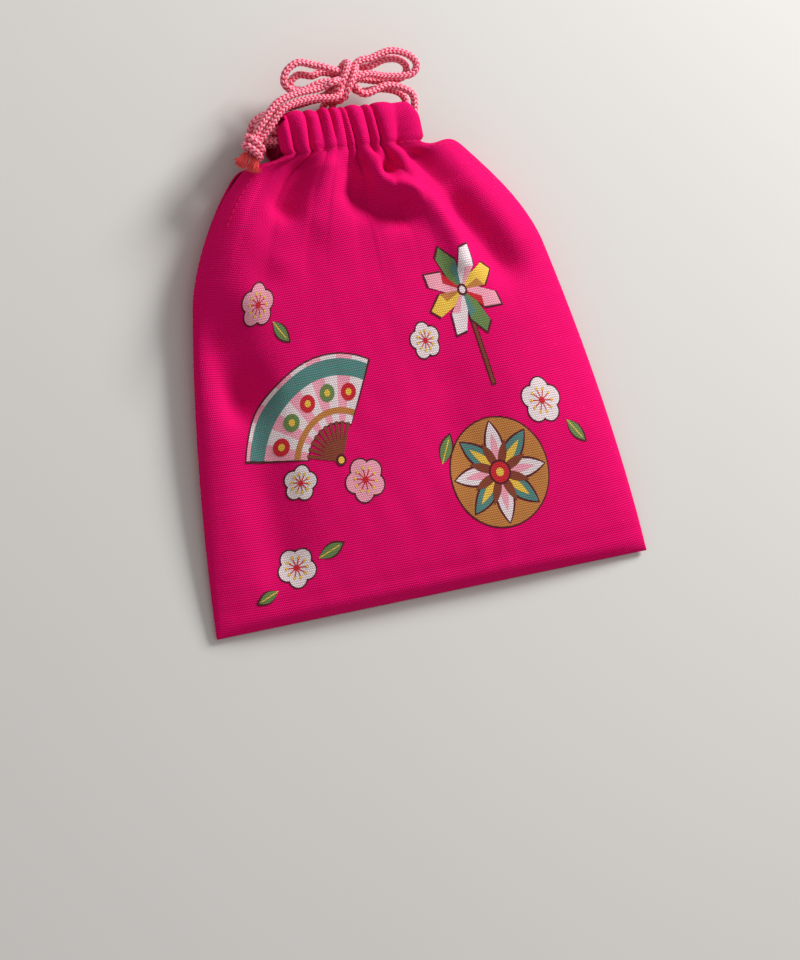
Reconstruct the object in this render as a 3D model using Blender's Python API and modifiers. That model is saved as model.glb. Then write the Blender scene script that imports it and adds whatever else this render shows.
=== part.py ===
"""Kinchaku drawstring pouch, drawn shut and lying on its back panel.

The pouch body is one length of canvas, folded at the bottom and seamed up both sides, with a slit at each side of
the mouth. Its top edges are turned in to make a casing in the front and one in the back. A drawcord enters from each
side, runs round through both casings and comes out where it went in. Both are tied in one bow above the mouth.

Metres, +X to the right of the front panel, +Y towards the mouth, +Z up through the front panel. The origin is on
the resting surface, in the middle of the cloth.
"""

import math

import bmesh
import bpy
import numpy as np
from mathutils import Vector

# Canvas
POUCH_WIDTH = 0.2000
POUCH_HEIGHT = 0.2085
CLOTH_THICKNESS = 0.0009
CLEARANCE = 0.0003

# Casing: the turned-in top edge that the cords run through
CASING_WIDTH = 0.0640
CASING_HEIGHT = 0.0170
CASING_MOUTH_INSET = 0.0034
HEM_ALLOWANCE = 0.0012
MOUTH_GAP = 0.0054
MOUTH_DROP = 0.0050
MOUTH_DROP_REACH = 0.0450
MOUTH_DROP_FADE = 0.0200
SLIT_LENGTH = 0.0485

# Gathers, valley to valley across the front casing, left to right (shares of its width)
GATHER_DEPTH = 0.0043
GATHER_SHARES = (5.3, 7.2, 7.0, 4.8, 6.0, 3.8, 7.2, 4.8, 7.9, 13.0)
GATHER_HEIGHTS = (0.80, 1.00, 0.88, 1.00, 0.92, 0.84, 1.00, 0.86, 1.00, 0.72)
GATHER_REACH = 0.0180

# Outline of the filled-out panel below the casing
SIDE_TAPER = 0.065
SIDE_BOW = 0.55
SHOULDER_LENGTH = 0.0555
SHOULDER_DRAW = 0.0370
SHOULDER_CURVE = 2.0
EAR_HEIGHT = 0.0065
EAR_START = 0.0520
EAR_RISE = 0.0460
EAR_END = 0.0140
WAIST_START = 0.0010
WAIST_RISE = 0.0030
BULGE_SQUARE = 2.4
BULGE_ROUND = 0.42

# Cords
CORD_DIAMETER = 0.0034
CORD_LINE_LOW = 0.0105
CORD_LINE_HIGH = 0.0060
CORD_STEP = 1.5 * CORD_DIAMETER
STRAND_GAP = 0.0004
DENSITY = 24

# Bow knot: an egg shape that leans with the wrap that goes round it
KNOT_LENGTH = 0.0180
KNOT_WIDTH = 0.0150
KNOT_DEPTH = 0.0124
KNOT_LEAN = math.radians(50)

# Knots at the ends of the cords, with two frayed tufts each
END_KNOT_LENGTH = 0.0084
END_KNOT_WIDTH = 0.0096
END_KNOT_DEPTH = 0.0070
FRAY_LENGTH = 0.0056
FRAY_ROOT_WIDTH = 0.0028
FRAY_TIP_WIDTH = 0.0038
FRAY_SPREAD = 0.0021

# Heights of the layers at the casing, from the resting surface up
HALF_CLOTH = CLOTH_THICKNESS / 2
CORD_RADIUS = CORD_DIAMETER / 2
CORD_ROOM = CORD_RADIUS + CLEARANCE + HALF_CLOTH
BACK_RIDGE_Z = HALF_CLOTH
BACK_VALLEY_Z = BACK_RIDGE_Z + GATHER_DEPTH
BACK_CORD_Z = BACK_VALLEY_Z + CORD_ROOM
BACK_HEM_Z = BACK_CORD_Z + CORD_ROOM
FRONT_HEM_Z = BACK_HEM_Z + CLOTH_THICKNESS + MOUTH_GAP
FRONT_CORD_Z = FRONT_HEM_Z + CORD_ROOM
FRONT_VALLEY_Z = FRONT_CORD_Z + CORD_ROOM
MOUTH_Z = (BACK_HEM_Z + FRONT_HEM_Z) / 2
SEWN_STEP = 1.25 * (CLOTH_THICKNESS + CLEARANCE)

# Places up the panel, from the bottom edge
TOP_Y = POUCH_HEIGHT - HALF_CLOTH
STITCH_Y = POUCH_HEIGHT - CASING_HEIGHT
FOLD_Y = POUCH_HEIGHT - 0.0042
SLIT_Y = POUCH_HEIGHT - SLIT_LENGTH
LOW_CORD_Y = POUCH_HEIGHT - CORD_LINE_LOW
HIGH_CORD_Y = POUCH_HEIGHT - CORD_LINE_HIGH

# Heights of the cloth's middle up the panel: (share of the panel's height, height)
FRONT_CROWN = (
    (0.00, 0.0018), (0.01, 0.0050), (0.05, 0.0082), (0.12, 0.0108), (0.25, 0.0140), (0.45, 0.0172),
    (0.70, 0.0196), (0.88, 0.0212), (1.00, FRONT_VALLEY_Z),
)
SEAM_LIFT = ((0.00, 0.0018), (0.05, 0.0024), (0.20, 0.0038), (0.50, 0.0060), (0.86, 0.0085), (1.00, 0.0085))

# Large folds and hollows of the front: height, width, then the points of its line as
# (share of the half width, share of the panel's height). A hollow has a negative height.
FRONT_FOLDS = (
    (0.0042, 0.0170, ((-0.86, 0.84), (-0.84, 0.75))),
    (-0.0036, 0.0130, ((-0.83, 0.63), (-0.76, 0.39), (-0.74, 0.18))),
    (-0.0052, 0.0056, ((-0.66, 1.00), (-0.62, 0.974), (-0.57, 0.933), (-0.59, 0.880))),
    (0.0028, 0.0070, ((-0.48, 0.99), (-0.43, 0.928), (-0.46, 0.857), (-0.56, 0.777))),
    (0.0034, 0.0110, ((-0.24, 0.985), (-0.28, 0.92), (-0.32, 0.85))),
    (-0.0048, 0.0070, ((0.02, 0.985), (-0.08, 0.945), (-0.08, 0.905), (0.02, 0.872), (0.20, 0.835))),
    (0.0046, 0.0046, ((0.24, 0.975), (0.13, 0.948), (0.14, 0.925), (0.24, 0.905), (0.33, 0.878))),
    (0.0038, 0.0055, ((0.33, 0.878), (0.42, 0.843), (0.46, 0.803), (0.48, 0.755), (0.47, 0.70))),
    (-0.0050, 0.0038, ((0.38, 1.00), (0.34, 0.97), (0.28, 0.94))),
    (0.0028, 0.0065, ((0.54, 0.99), (0.48, 0.95), (0.50, 0.905), (0.56, 0.86))),
    (-0.0048, 0.0075, ((0.68, 0.96), (0.60, 0.90), (0.58, 0.85), (0.60, 0.80), (0.66, 0.74), (0.72, 0.67))),
    (0.0034, 0.0100, ((0.86, 0.95), (0.80, 0.90), (0.80, 0.83), (0.82, 0.74))),
    (0.0022, 0.0200, ((0.62, 0.55), (0.66, 0.34))),
    (-0.0014, 0.0120, ((0.24, 0.43), (0.20, 0.29))),
)

# The hollow in the back where the knotted tail lies: height, width and line as above
BACK_FOLDS = ((0.0065, 0.0100, ((0.0, 0.950), (0.0, 0.909))),)
BACK_TAIL_HALF_WIDTH = 0.0095
BACK_TAIL_EDGE = 0.0040
BACK_TAIL_ROOM = 0.0345
BACK_TAIL_RISE = 0.0120
BACK_FLAT_SHARE = 0.80
FOLD_FADE = 0.0080

# Rows of the cloth grid, as shares of the panel's height
PANEL_ROWS = (
    0.0, 0.008, 0.035, 0.09, 0.19, 0.31, 0.43, 0.54, 0.63, 0.70, 0.76, 0.81, 0.850, 0.885, 0.915, 0.942, 0.970, 1.0,
)
CASING_ROWS = (0.22, 0.48, 0.75, 1.0)
COLUMNS_PER_GATHER = 4
SIDE_ROUND = 0.975

PINK = (0.78, 0.006, 0.15, 1.0)
CORD_PINK = (0.80, 0.26, 0.36, 1.0)


def clear_scene():
    for item in list(bpy.data.objects):
        bpy.data.objects.remove(item, do_unlink=True)


def make_material(name, colour, roughness):
    material = bpy.data.materials.new(name)
    material.use_nodes = True
    shader = material.node_tree.nodes["Principled BSDF"]
    shader.inputs["Base Color"].default_value = colour
    shader.inputs["Roughness"].default_value = roughness
    shader.inputs["Metallic"].default_value = 0.0
    material.diffuse_color = colour
    return material


def smooth_through(points, at):
    """Values at the places `at` of a smooth curve through (place, value) points."""
    places, values = np.array(points, dtype=float).T
    slopes = np.gradient(values, places)
    at = np.clip(np.asarray(at, dtype=float), places[0], places[-1])
    k = np.clip(np.searchsorted(places, at) - 1, 0, len(places) - 2)
    span = places[k + 1] - places[k]
    f = (at - places[k]) / span
    start = (1 + 2 * f) * (1 - f) ** 2 * values[k] + f * (1 - f) ** 2 * span * slopes[k]
    end = f ** 2 * (3 - 2 * f) * values[k + 1] + f ** 2 * (f - 1) * span * slopes[k + 1]
    return start + end


def ease(value):
    """Smooth step from 0 to 1."""
    f = np.clip(value, 0.0, 1.0)
    return f * f * (3 - 2 * f)


def half_width(y):
    """Half the width of the cloth at height y, from the bottom to the casing."""
    straight = POUCH_WIDTH / 2 - HALF_CLOTH - SIDE_TAPER * y - SIDE_BOW * y ** 2
    into_shoulder = np.clip((y - (STITCH_Y - SHOULDER_LENGTH)) / SHOULDER_LENGTH, 0, 1)
    drawn = straight - SHOULDER_DRAW * into_shoulder ** SHOULDER_CURVE
    return drawn + (CASING_WIDTH / 2 - drawn) * ease((y - STITCH_Y + WAIST_START) / WAIST_RISE)


def ear_lift(across, y):
    """How far the cloth puffs up past the casing's ends, beside the slits."""
    rise = ease((y - STITCH_Y + EAR_START) / EAR_RISE) * (1 - ease((y - STITCH_Y) / EAR_END + 1))
    return EAR_HEIGHT * rise * np.abs(across) ** 3


def mouth_drop(x, y):
    """How far the drawn mouth hangs askew: nothing at the casing's left end, most at its right end, less past it."""
    share = np.clip(x / CASING_WIDTH + 0.5, 0, 1) * (1 - ease((x - CASING_WIDTH / 2) / MOUTH_DROP_FADE))
    return MOUTH_DROP * share * ease((y - STITCH_Y) / MOUTH_DROP_REACH + 1)


def on_plan(across, y):
    """Where a point of the cloth lies, seen from above, measured from the bottom edge."""
    x = across * half_width(y)
    up = HALF_CLOTH + (y + ear_lift(across, y) - mouth_drop(x, y)) * (1 - HALF_CLOTH / TOP_Y)
    return x, up


def gather_valleys():
    """Places of the valleys between gathers, from -1 at the left end to 1 at the right."""
    edges = np.concatenate(([0.0], np.cumsum(GATHER_SHARES)))
    return 2 * edges / edges[-1] - 1


def grid_columns():
    """Columns of the cloth: a few to each gather, so that every ridge and valley has one."""
    valleys = gather_valleys()
    steps = np.arange(COLUMNS_PER_GATHER) / COLUMNS_PER_GATHER
    columns = [left + (right - left) * steps for left, right in zip(valleys[:-1], valleys[1:])]
    return np.sort(np.concatenate(columns + [[1.0, SIDE_ROUND, -SIDE_ROUND]]))


def gathers(across):
    """Round ridges between sharp valleys: 0 in a valley, 1 on a ridge."""
    valleys = gather_valleys()
    k = np.clip(np.searchsorted(valleys, across, side="right") - 1, 0, len(valleys) - 2)
    place = (across - valleys[k]) / (valleys[k + 1] - valleys[k])
    return np.array(GATHER_HEIGHTS)[k] * np.sin(math.pi * np.clip(place, 0, 1)) ** 0.8


def gather_strength(y):
    """Gathers are full at the casing and die out down the panel."""
    below = np.clip((STITCH_Y - y) / GATHER_REACH, 0, None)
    return np.where(y >= STITCH_Y, 1.0, np.exp(-(below ** 1.3)) * (1 - 0.25 * ease(below * 4)))


def fold_heights(folds, across, x, y):
    """Sum of the folds, each a soft ridge or hollow along its line."""
    total = np.zeros_like(x)
    for height, width, line in folds:
        nearest = np.full_like(x, np.inf)
        ends = [(share * half_width(up * STITCH_Y), up * STITCH_Y) for share, up in line]
        for (ax, ay), (bx, by) in zip(ends[:-1], ends[1:]):
            along = ((x - ax) * (bx - ax) + (y - ay) * (by - ay)) / ((bx - ax) ** 2 + (by - ay) ** 2)
            along = np.clip(along, 0, 1)
            nearest = np.minimum(nearest, np.hypot(x - ax - along * (bx - ax), y - ay - along * (by - ay)))
        total += height * np.exp(-(nearest / width) ** 2)
    return total * (1 - np.abs(across) ** 6)


def front_ground(across, y):
    """Height of the front panel's cloth without its gathers."""
    up = y / STITCH_Y
    at_casing = ease((y - SLIT_Y) / (STITCH_Y - SLIT_Y))
    crown = smooth_through(FRONT_CROWN, up)
    side = smooth_through(SEAM_LIFT, up)
    side = side + (FRONT_VALLEY_Z - side) * at_casing
    bulge = (1 - np.abs(across) ** BULGE_SQUARE) ** BULGE_ROUND
    folds = fold_heights(FRONT_FOLDS, across, across * half_width(y), y)
    return side + (crown - side) * bulge + folds * (1 - ease((y - STITCH_Y) / FOLD_FADE + 1))


def front_height(across, y):
    return front_ground(across, y) + GATHER_DEPTH * gathers(across) * gather_strength(y)


def back_height(across, y):
    """Height of the back panel's cloth: flat on the surface, with gathers pushed up into it at the casing."""
    up = y / STITCH_Y
    at_casing = ease((y - SLIT_Y) / (STITCH_Y - SLIT_Y))
    side = smooth_through(SEAM_LIFT, up)
    side = side + (BACK_VALLEY_Z - side) * at_casing
    reach = np.clip((np.abs(across) - BACK_FLAT_SHARE) / (1 - BACK_FLAT_SHARE), 0, 1)
    height = BACK_RIDGE_Z + (side - BACK_RIDGE_Z) * reach ** 4
    valleys = (1 - gathers(across)) * gather_strength(y)
    tail_room = 1 - ease((np.abs(across * half_width(y)) - BACK_TAIL_HALF_WIDTH) / BACK_TAIL_EDGE)
    valleys = np.maximum(valleys, tail_room * ease((y - STITCH_Y + BACK_TAIL_ROOM) / BACK_TAIL_RISE))
    height = np.maximum(height, BACK_RIDGE_Z + GATHER_DEPTH * valleys * (1 - reach))
    return height + back_hollow(across, y)


def back_hollow(across, y):
    hollow = fold_heights(BACK_FOLDS, across, across * half_width(y), y)
    return hollow * (1 - ease((y - STITCH_Y) / FOLD_FADE))


def hem_height(is_front, across, y):
    """Height of the turned-in layer: level beside the cords, then closing on the panel at the stitch line."""
    if is_front:
        level = FRONT_HEM_Z
        sewn = front_ground(across, y) - SEWN_STEP
    else:
        level = BACK_HEM_Z
        sewn = BACK_VALLEY_Z + back_hollow(across, y) + SEWN_STEP
    start = LOW_CORD_Y - CORD_ROOM
    return level + (sewn - level) * ease((start - y) / (start - STITCH_Y))


def cloth_rows(is_front, columns):
    """Rows of points from the bottom fold up the panel, over the top edge and down inside the casing."""
    height = front_height if is_front else back_height
    hem_flat = FRONT_HEM_Z if is_front else BACK_HEM_Z
    rows = []

    def add(y, z):
        x, up = on_plan(columns, y)
        rows.append(np.stack([x, up, z], axis=1))

    panel = [share * STITCH_Y for share in PANEL_ROWS]
    casing = [STITCH_Y + share * (FOLD_Y - STITCH_Y) for share in CASING_ROWS]
    for y in panel + casing:
        add(y, height(columns, y))
    outer = height(columns, FOLD_Y)
    for rise, turn in ((0.66, 0.16), (1.0, 0.52), (0.66, 0.90)):
        add(FOLD_Y + rise * (TOP_Y - FOLD_Y), outer + (hem_flat - outer) * turn)
    start = LOW_CORD_Y - CORD_ROOM
    for y in (FOLD_Y, (FOLD_Y + start) / 2, start, (2 * start + STITCH_Y) / 3, (start + 2 * STITCH_Y) / 3,
              STITCH_Y - HEM_ALLOWANCE):
        add(y, hem_height(is_front, columns, y))
    return rows, len(panel) + len(casing)


def build_pouch(material):
    """One sheet of cloth as an open surface, thickened both ways."""
    columns = grid_columns()
    mesh = bmesh.new()
    slit_row = max(k for k, share in enumerate(PANEL_ROWS) if share * STITCH_Y <= SLIT_Y + 1e-6)
    sheets = []
    for is_front in (False, True):
        rows, outer_count = cloth_rows(is_front, columns)
        grid = []
        for r, row in enumerate(rows):
            line = []
            for c, (x, y, z) in enumerate(row):
                at_seam = c in (0, len(columns) - 1) and r <= slit_row
                if is_front and (r == 0 or at_seam):
                    line.append(sheets[0][r][c])
                    continue
                line.append(mesh.verts.new((x, y - POUCH_HEIGHT / 2, z)))
            grid.append(line)
        sheets.append(grid)
        inset = 1 - CASING_MOUTH_INSET / (CASING_WIDTH / 2)
        for r in range(len(rows) - 1):
            for c in range(len(columns) - 1):
                middle = (columns[c] + columns[c + 1]) / 2
                if r >= outer_count and abs(middle) > inset:
                    continue
                low_left, low_right = grid[r][c], grid[r][c + 1]
                high_left, high_right = grid[r + 1][c], grid[r + 1][c + 1]
                halves = [(low_left, low_right, high_right), (low_left, high_right, high_left)]
                if middle > 0:
                    halves = [(low_left, low_right, high_left), (low_right, high_right, high_left)]
                for corners in halves:
                    mesh.faces.new(corners if is_front else corners[::-1])
    loose = [v for v in mesh.verts if not v.link_faces]
    bmesh.ops.delete(mesh, geom=loose, context="VERTS")
    data = bpy.data.meshes.new("pouch_body")
    mesh.to_mesh(data)
    mesh.free()
    data.materials.append(material)
    body = bpy.data.objects.new("pouch_body", data)
    thicken = body.modifiers.new("Cloth", "SOLIDIFY")
    thicken.thickness = CLOTH_THICKNESS
    thicken.offset = 0.0
    thicken.use_even_offset = False
    thicken.thickness_clamp = 0.0
    data.shade_smooth()
    return body


def smooth_route(points):
    """Points at even steps along a smooth curve through the route's own points. The ends stay straight."""
    route = [Vector(p) for p in points]
    dense = []
    for k in range(len(route) - 1):
        before = route[max(k - 1, 0)]
        after = route[min(k + 2, len(route) - 1)]
        start, end = route[k], route[k + 1]
        leave = (end - before) / 2
        arrive = (after - start) / 2
        for step in range(DENSITY):
            f = step / DENSITY
            dense.append(
                (1 + 2 * f) * (1 - f) ** 2 * start + f * (1 - f) ** 2 * leave
                + f ** 2 * (3 - 2 * f) * end + f ** 2 * (f - 1) * arrive
            )
    dense.append(route[-1])
    reached = [0.0]
    for a, b in zip(dense[:-1], dense[1:]):
        reached.append(reached[-1] + (b - a).length)
    straight = (Vector(points[1]) - Vector(points[0])).length
    count = max(2, round((reached[-1] - 2 * straight) / CORD_STEP) + 1)
    marks = np.linspace(reached[DENSITY], reached[-1 - DENSITY], count)
    middle = [[np.interp(m, reached, [p[axis] for p in dense]) for axis in range(3)] for m in marks]
    return [list(points[0])] + middle + [list(points[-1])]


def build_cord(name, route, material):
    curve = bpy.data.curves.new(name, "CURVE")
    curve.dimensions = "3D"
    curve.bevel_depth = CORD_RADIUS
    curve.bevel_resolution = 2
    curve.use_fill_caps = True
    points = smooth_route(route)
    spline = curve.splines.new("POLY")
    spline.points.add(len(points) - 1)
    for point, (x, y, z) in zip(spline.points, points):
        point.co = (x, y - POUCH_HEIGHT / 2, z, 1)
    curve.materials.append(material)
    return bpy.data.objects.new(name, curve)


def axes_of(length, width, depth, turn):
    """Half axes of an egg shape lying flat, its long axis turned by `turn` from +X."""
    along = Vector((math.cos(turn), math.sin(turn), 0))
    across = Vector((-math.sin(turn), math.cos(turn), 0))
    return ((along, length / 2), (across, width / 2), (Vector((0, 0, 1)), depth / 2))


def port(centre, axes, azimuth, elevation):
    """Where a strand meets an egg shape: its end, and a point further out that leads it in squarely."""
    level = math.cos(math.radians(elevation))
    heading = Vector((
        level * math.cos(math.radians(azimuth)), level * math.sin(math.radians(azimuth)),
        math.sin(math.radians(elevation)),
    ))
    scale = sum((heading.dot(axis) / half) ** 2 for axis, half in axes) ** -0.5
    outward = sum((axis * (heading.dot(axis) / half ** 2) for axis, half in axes), Vector()).normalized()
    surface = Vector(centre) + heading * scale
    return [surface + outward * STRAND_GAP, surface + outward * (STRAND_GAP + CORD_RADIUS)]


def build_egg(name, centre, length, width, depth, turn, material):
    mesh = bmesh.new()
    bmesh.ops.create_uvsphere(mesh, u_segments=20, v_segments=12, radius=0.5)
    for vertex in mesh.verts:
        vertex.co = Vector((vertex.co.x * length, vertex.co.y * width, vertex.co.z * depth))
    data = bpy.data.meshes.new(name)
    mesh.to_mesh(data)
    mesh.free()
    data.shade_smooth()
    data.materials.append(material)
    egg = bpy.data.objects.new(name, data)
    egg.location = (centre[0], centre[1] - POUCH_HEIGHT / 2, centre[2])
    egg.rotation_euler = (0, 0, turn)
    return egg


def build_end_knot(name, centre, turn, material, cutters):
    """An overhand knot in the doubled cord, with the frayed tuft of each strand beyond it."""
    knot = build_egg(name, centre, END_KNOT_LENGTH, END_KNOT_WIDTH, END_KNOT_DEPTH, turn, material)
    for side in (-1, 1):
        mesh = bmesh.new()
        bmesh.ops.create_cone(
            mesh, cap_ends=True, segments=12, radius1=FRAY_TIP_WIDTH / 2, radius2=FRAY_ROOT_WIDTH / 2,
            depth=FRAY_LENGTH,
        )
        data = bpy.data.meshes.new(f"{name}_tuft")
        mesh.to_mesh(data)
        mesh.free()
        tuft = bpy.data.objects.new(f"{name}_tuft_{'left' if side < 0 else 'right'}", data)
        reach = END_KNOT_LENGTH / 2 + FRAY_LENGTH / 2 - 0.0012
        along = Vector((math.cos(turn), math.sin(turn), 0))
        across = Vector((-math.sin(turn), math.cos(turn), 0))
        place = Vector(centre) + along * reach + across * side * FRAY_SPREAD
        tuft.location = (place.x, place.y - POUCH_HEIGHT / 2, place.z)
        tuft.rotation_euler = (0, -math.pi / 2, turn + side * math.radians(10))
        tuft.hide_render = True
        tuft.display_type = "WIRE"
        cutters.objects.link(tuft)
        union = knot.modifiers.new("Tuft", "BOOLEAN")
        union.operation = "UNION"
        union.object = tuft
    return knot


def from_top(x, up, z):
    """A point by its distance above the casing's top edge."""
    return (x, POUCH_HEIGHT + up, z)


def u_turn(end, y):
    """Round one end of the casings, from the front one to the back one. `end` is -1 on the left, 1 on the right."""
    edge = CASING_WIDTH / 2 - CASING_MOUTH_INSET
    rise = (FRONT_CORD_Z - BACK_CORD_Z) / 2
    y = y - mouth_drop(end * edge, STITCH_Y)
    return [
        (end * (edge - 0.004), y, FRONT_CORD_Z), (end * edge, y, FRONT_CORD_Z),
        (end * (edge + 0.0038), y, MOUTH_Z + 0.78 * rise), (end * (edge + 0.0052), y, MOUTH_Z),
        (end * (edge + 0.0038), y, MOUTH_Z - 0.78 * rise), (end * edge, y, BACK_CORD_Z),
        (end * (edge - 0.004), y, BACK_CORD_Z),
    ]


def side_by_side(points, offset):
    """The same route moved sideways in plan, for one strand of a doubled cord."""
    moved = []
    for k, point in enumerate(points):
        before, after = Vector(points[max(k - 1, 0)]), Vector(points[min(k + 1, len(points) - 1)])
        heading = after - before
        sideways = Vector((-heading.y, heading.x, 0)).normalized()
        moved.append(Vector(point) + sideways * offset)
    return moved


def cord_routes():
    """Route of every strand by name, and the places of the three knots."""
    knot = from_top(0.0040, 0.0090, MOUTH_Z + 0.0037)
    knot_axes = axes_of(KNOT_LENGTH, KNOT_WIDTH, KNOT_DEPTH, KNOT_LEAN)
    edge = CASING_WIDTH / 2 - CASING_MOUTH_INSET
    doubled = CORD_RADIUS + STRAND_GAP / 2
    low = LOW_CORD_Y - mouth_drop(-edge, STITCH_Y)
    high = HIGH_CORD_Y - mouth_drop(edge, STITCH_Y)

    def at_knot(azimuth, elevation):
        return port(knot, knot_axes, azimuth, elevation)

    routes = {}
    routes["left_drawcord"] = (
        at_knot(210, 0)
        + [from_top(-0.0150, 0.0034, 0.0152), from_top(-0.0270, 0.0026, 0.0152), from_top(-0.0352, 0.0004, 0.0158),
           from_top(-0.0388, -0.0042, 0.0170), from_top(-0.0378, -0.0086, 0.0180)]
        + [(-edge - 0.0040, low + 0.0004, FRONT_CORD_Z), (-edge, low, FRONT_CORD_Z)]
        + u_turn(1, LOW_CORD_Y)
        + [(-edge, low, BACK_CORD_Z), (-edge - 0.0040, low + 0.0004, BACK_CORD_Z)]
        + [from_top(-0.0378, -0.0086, 0.0076), from_top(-0.0388, -0.0042, 0.0086), from_top(-0.0352, 0.0004, 0.0098),
           from_top(-0.0270, 0.0024, 0.0108), from_top(-0.0140, 0.0034, 0.0112)]
        + at_knot(208, -30)[::-1]
    )
    routes["right_drawcord"] = (
        at_knot(-42, 6)
        + [from_top(0.0225, 0.0040, 0.0172), from_top(0.0302, 0.0012, 0.0174), from_top(0.0334, -0.0028, 0.0178)]
        + [(edge + 0.0030, high + 0.0010, FRONT_CORD_Z), (edge, high, FRONT_CORD_Z)]
        + u_turn(-1, HIGH_CORD_Y)
        + [(edge, high, BACK_CORD_Z), (edge + 0.0030, high + 0.0010, BACK_CORD_Z)]
        + [from_top(0.0334, -0.0028, 0.0084), from_top(0.0302, 0.0012, 0.0098), from_top(0.0225, 0.0036, 0.0112)]
        + at_knot(-32, -26)[::-1]
    )
    routes["left_loop_outer"] = (
        at_knot(136, 16)
        + [from_top(-0.0080, 0.0178, 0.0180), from_top(-0.0150, 0.0200, 0.0184), from_top(-0.0210, 0.0172, 0.0180),
           from_top(-0.0225, 0.0120, 0.0174), from_top(-0.0170, 0.0080, 0.0172)]
        + at_knot(174, 12)[::-1]
    )
    routes["left_loop_inner"] = (
        at_knot(140, -22)
        + [from_top(-0.0080, 0.0140, 0.0134), from_top(-0.0140, 0.0154, 0.0136), from_top(-0.0182, 0.0130, 0.0136),
           from_top(-0.0168, 0.0098, 0.0130), from_top(-0.0100, 0.0084, 0.0126)]
        + at_knot(174, -24)[::-1]
    )
    routes["right_loop_outer"] = (
        at_knot(42, 12)
        + [from_top(0.0180, 0.0164, 0.0182), from_top(0.0270, 0.0180, 0.0184), from_top(0.0350, 0.0150, 0.0180),
           from_top(0.0380, 0.0102, 0.0176), from_top(0.0340, 0.0066, 0.0172), from_top(0.0230, 0.0080, 0.0172)]
        + at_knot(6, 18)[::-1]
    )
    routes["right_loop_inner"] = (
        at_knot(32, -22)
        + [from_top(0.0180, 0.0128, 0.0138), from_top(0.0260, 0.0144, 0.0140), from_top(0.0326, 0.0126, 0.0140),
           from_top(0.0344, 0.0092, 0.0134), from_top(0.0300, 0.0066, 0.0126), from_top(0.0215, 0.0078, 0.0122)]
        + at_knot(0, -20)[::-1]
    )
    tail = [from_top(-0.0110, 0.0050, 0.0222), from_top(-0.0210, 0.0050, 0.0226), from_top(-0.0318, 0.0026, 0.0226),
            from_top(-0.0396, -0.0036, 0.0226), from_top(-0.0426, -0.0078, 0.0218)]
    front_end = from_top(-0.0456, -0.0126, 0.0214)
    front_turn = math.radians(228)
    front_axes = axes_of(END_KNOT_LENGTH, END_KNOT_WIDTH, END_KNOT_DEPTH, front_turn)
    for name, side, azimuth, elevation, spread in (("a", 1, 224, 30, -24), ("b", -1, 180, 46, 24)):
        routes[f"front_tail_{name}"] = (
            at_knot(azimuth, elevation) + side_by_side(tail, side * doubled)
            + port(front_end, front_axes, 48 + spread, 0)[::-1]
        )
    back_z = CORD_RADIUS + CLEARANCE
    drop = [from_top(0.0036, 0.0040, 0.0078), from_top(0.0014, 0.0034, 0.0048), from_top(0, 0.0006, 0.0027),
            from_top(0, -0.0050, back_z), from_top(0, -0.0160, back_z), from_top(0, -0.0220, back_z + 0.0004)]
    back_end = from_top(0, -0.0296, 0.0042)
    back_turn = math.radians(-90)
    back_axes = axes_of(END_KNOT_LENGTH, END_KNOT_WIDTH, END_KNOT_DEPTH, back_turn)
    for name, side, azimuth, elevation, spread in (("a", -1, 238, -58, 26), ("b", 1, 294, -48, -26)):
        routes[f"back_tail_{name}"] = (
            at_knot(azimuth, elevation) + [Vector(p) + Vector((side * (doubled + CLEARANCE), 0, 0)) for p in drop]
            + port(back_end, back_axes, 90 + spread, -12)[::-1]
        )
    return routes, knot, (front_end, front_turn), (back_end, back_turn)


def main():
    clear_scene()
    canvas = make_material("pink_canvas", PINK, 0.85)
    braid = make_material("pink_braid", CORD_PINK, 0.6)
    parts = bpy.data.collections.new("kinchaku_pouch")
    cutters = bpy.data.collections.new("cutters")
    for collection in (parts, cutters):
        bpy.context.scene.collection.children.link(collection)
    routes, knot, front_end, back_end = cord_routes()
    parts.objects.link(build_pouch(canvas))
    for name, route in routes.items():
        parts.objects.link(build_cord(name, route, braid))
    parts.objects.link(build_egg("bow_knot", knot, KNOT_LENGTH, KNOT_WIDTH, KNOT_DEPTH, KNOT_LEAN, braid))
    parts.objects.link(build_end_knot("front_end_knot", *front_end, braid, cutters))
    parts.objects.link(build_end_knot("back_end_knot", *back_end, braid, cutters))


main()
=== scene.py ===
import math

import bmesh
import bpy
import numpy as np
from mathutils import Matrix, Vector, noise
from mathutils.bvhtree import BVHTree


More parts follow.
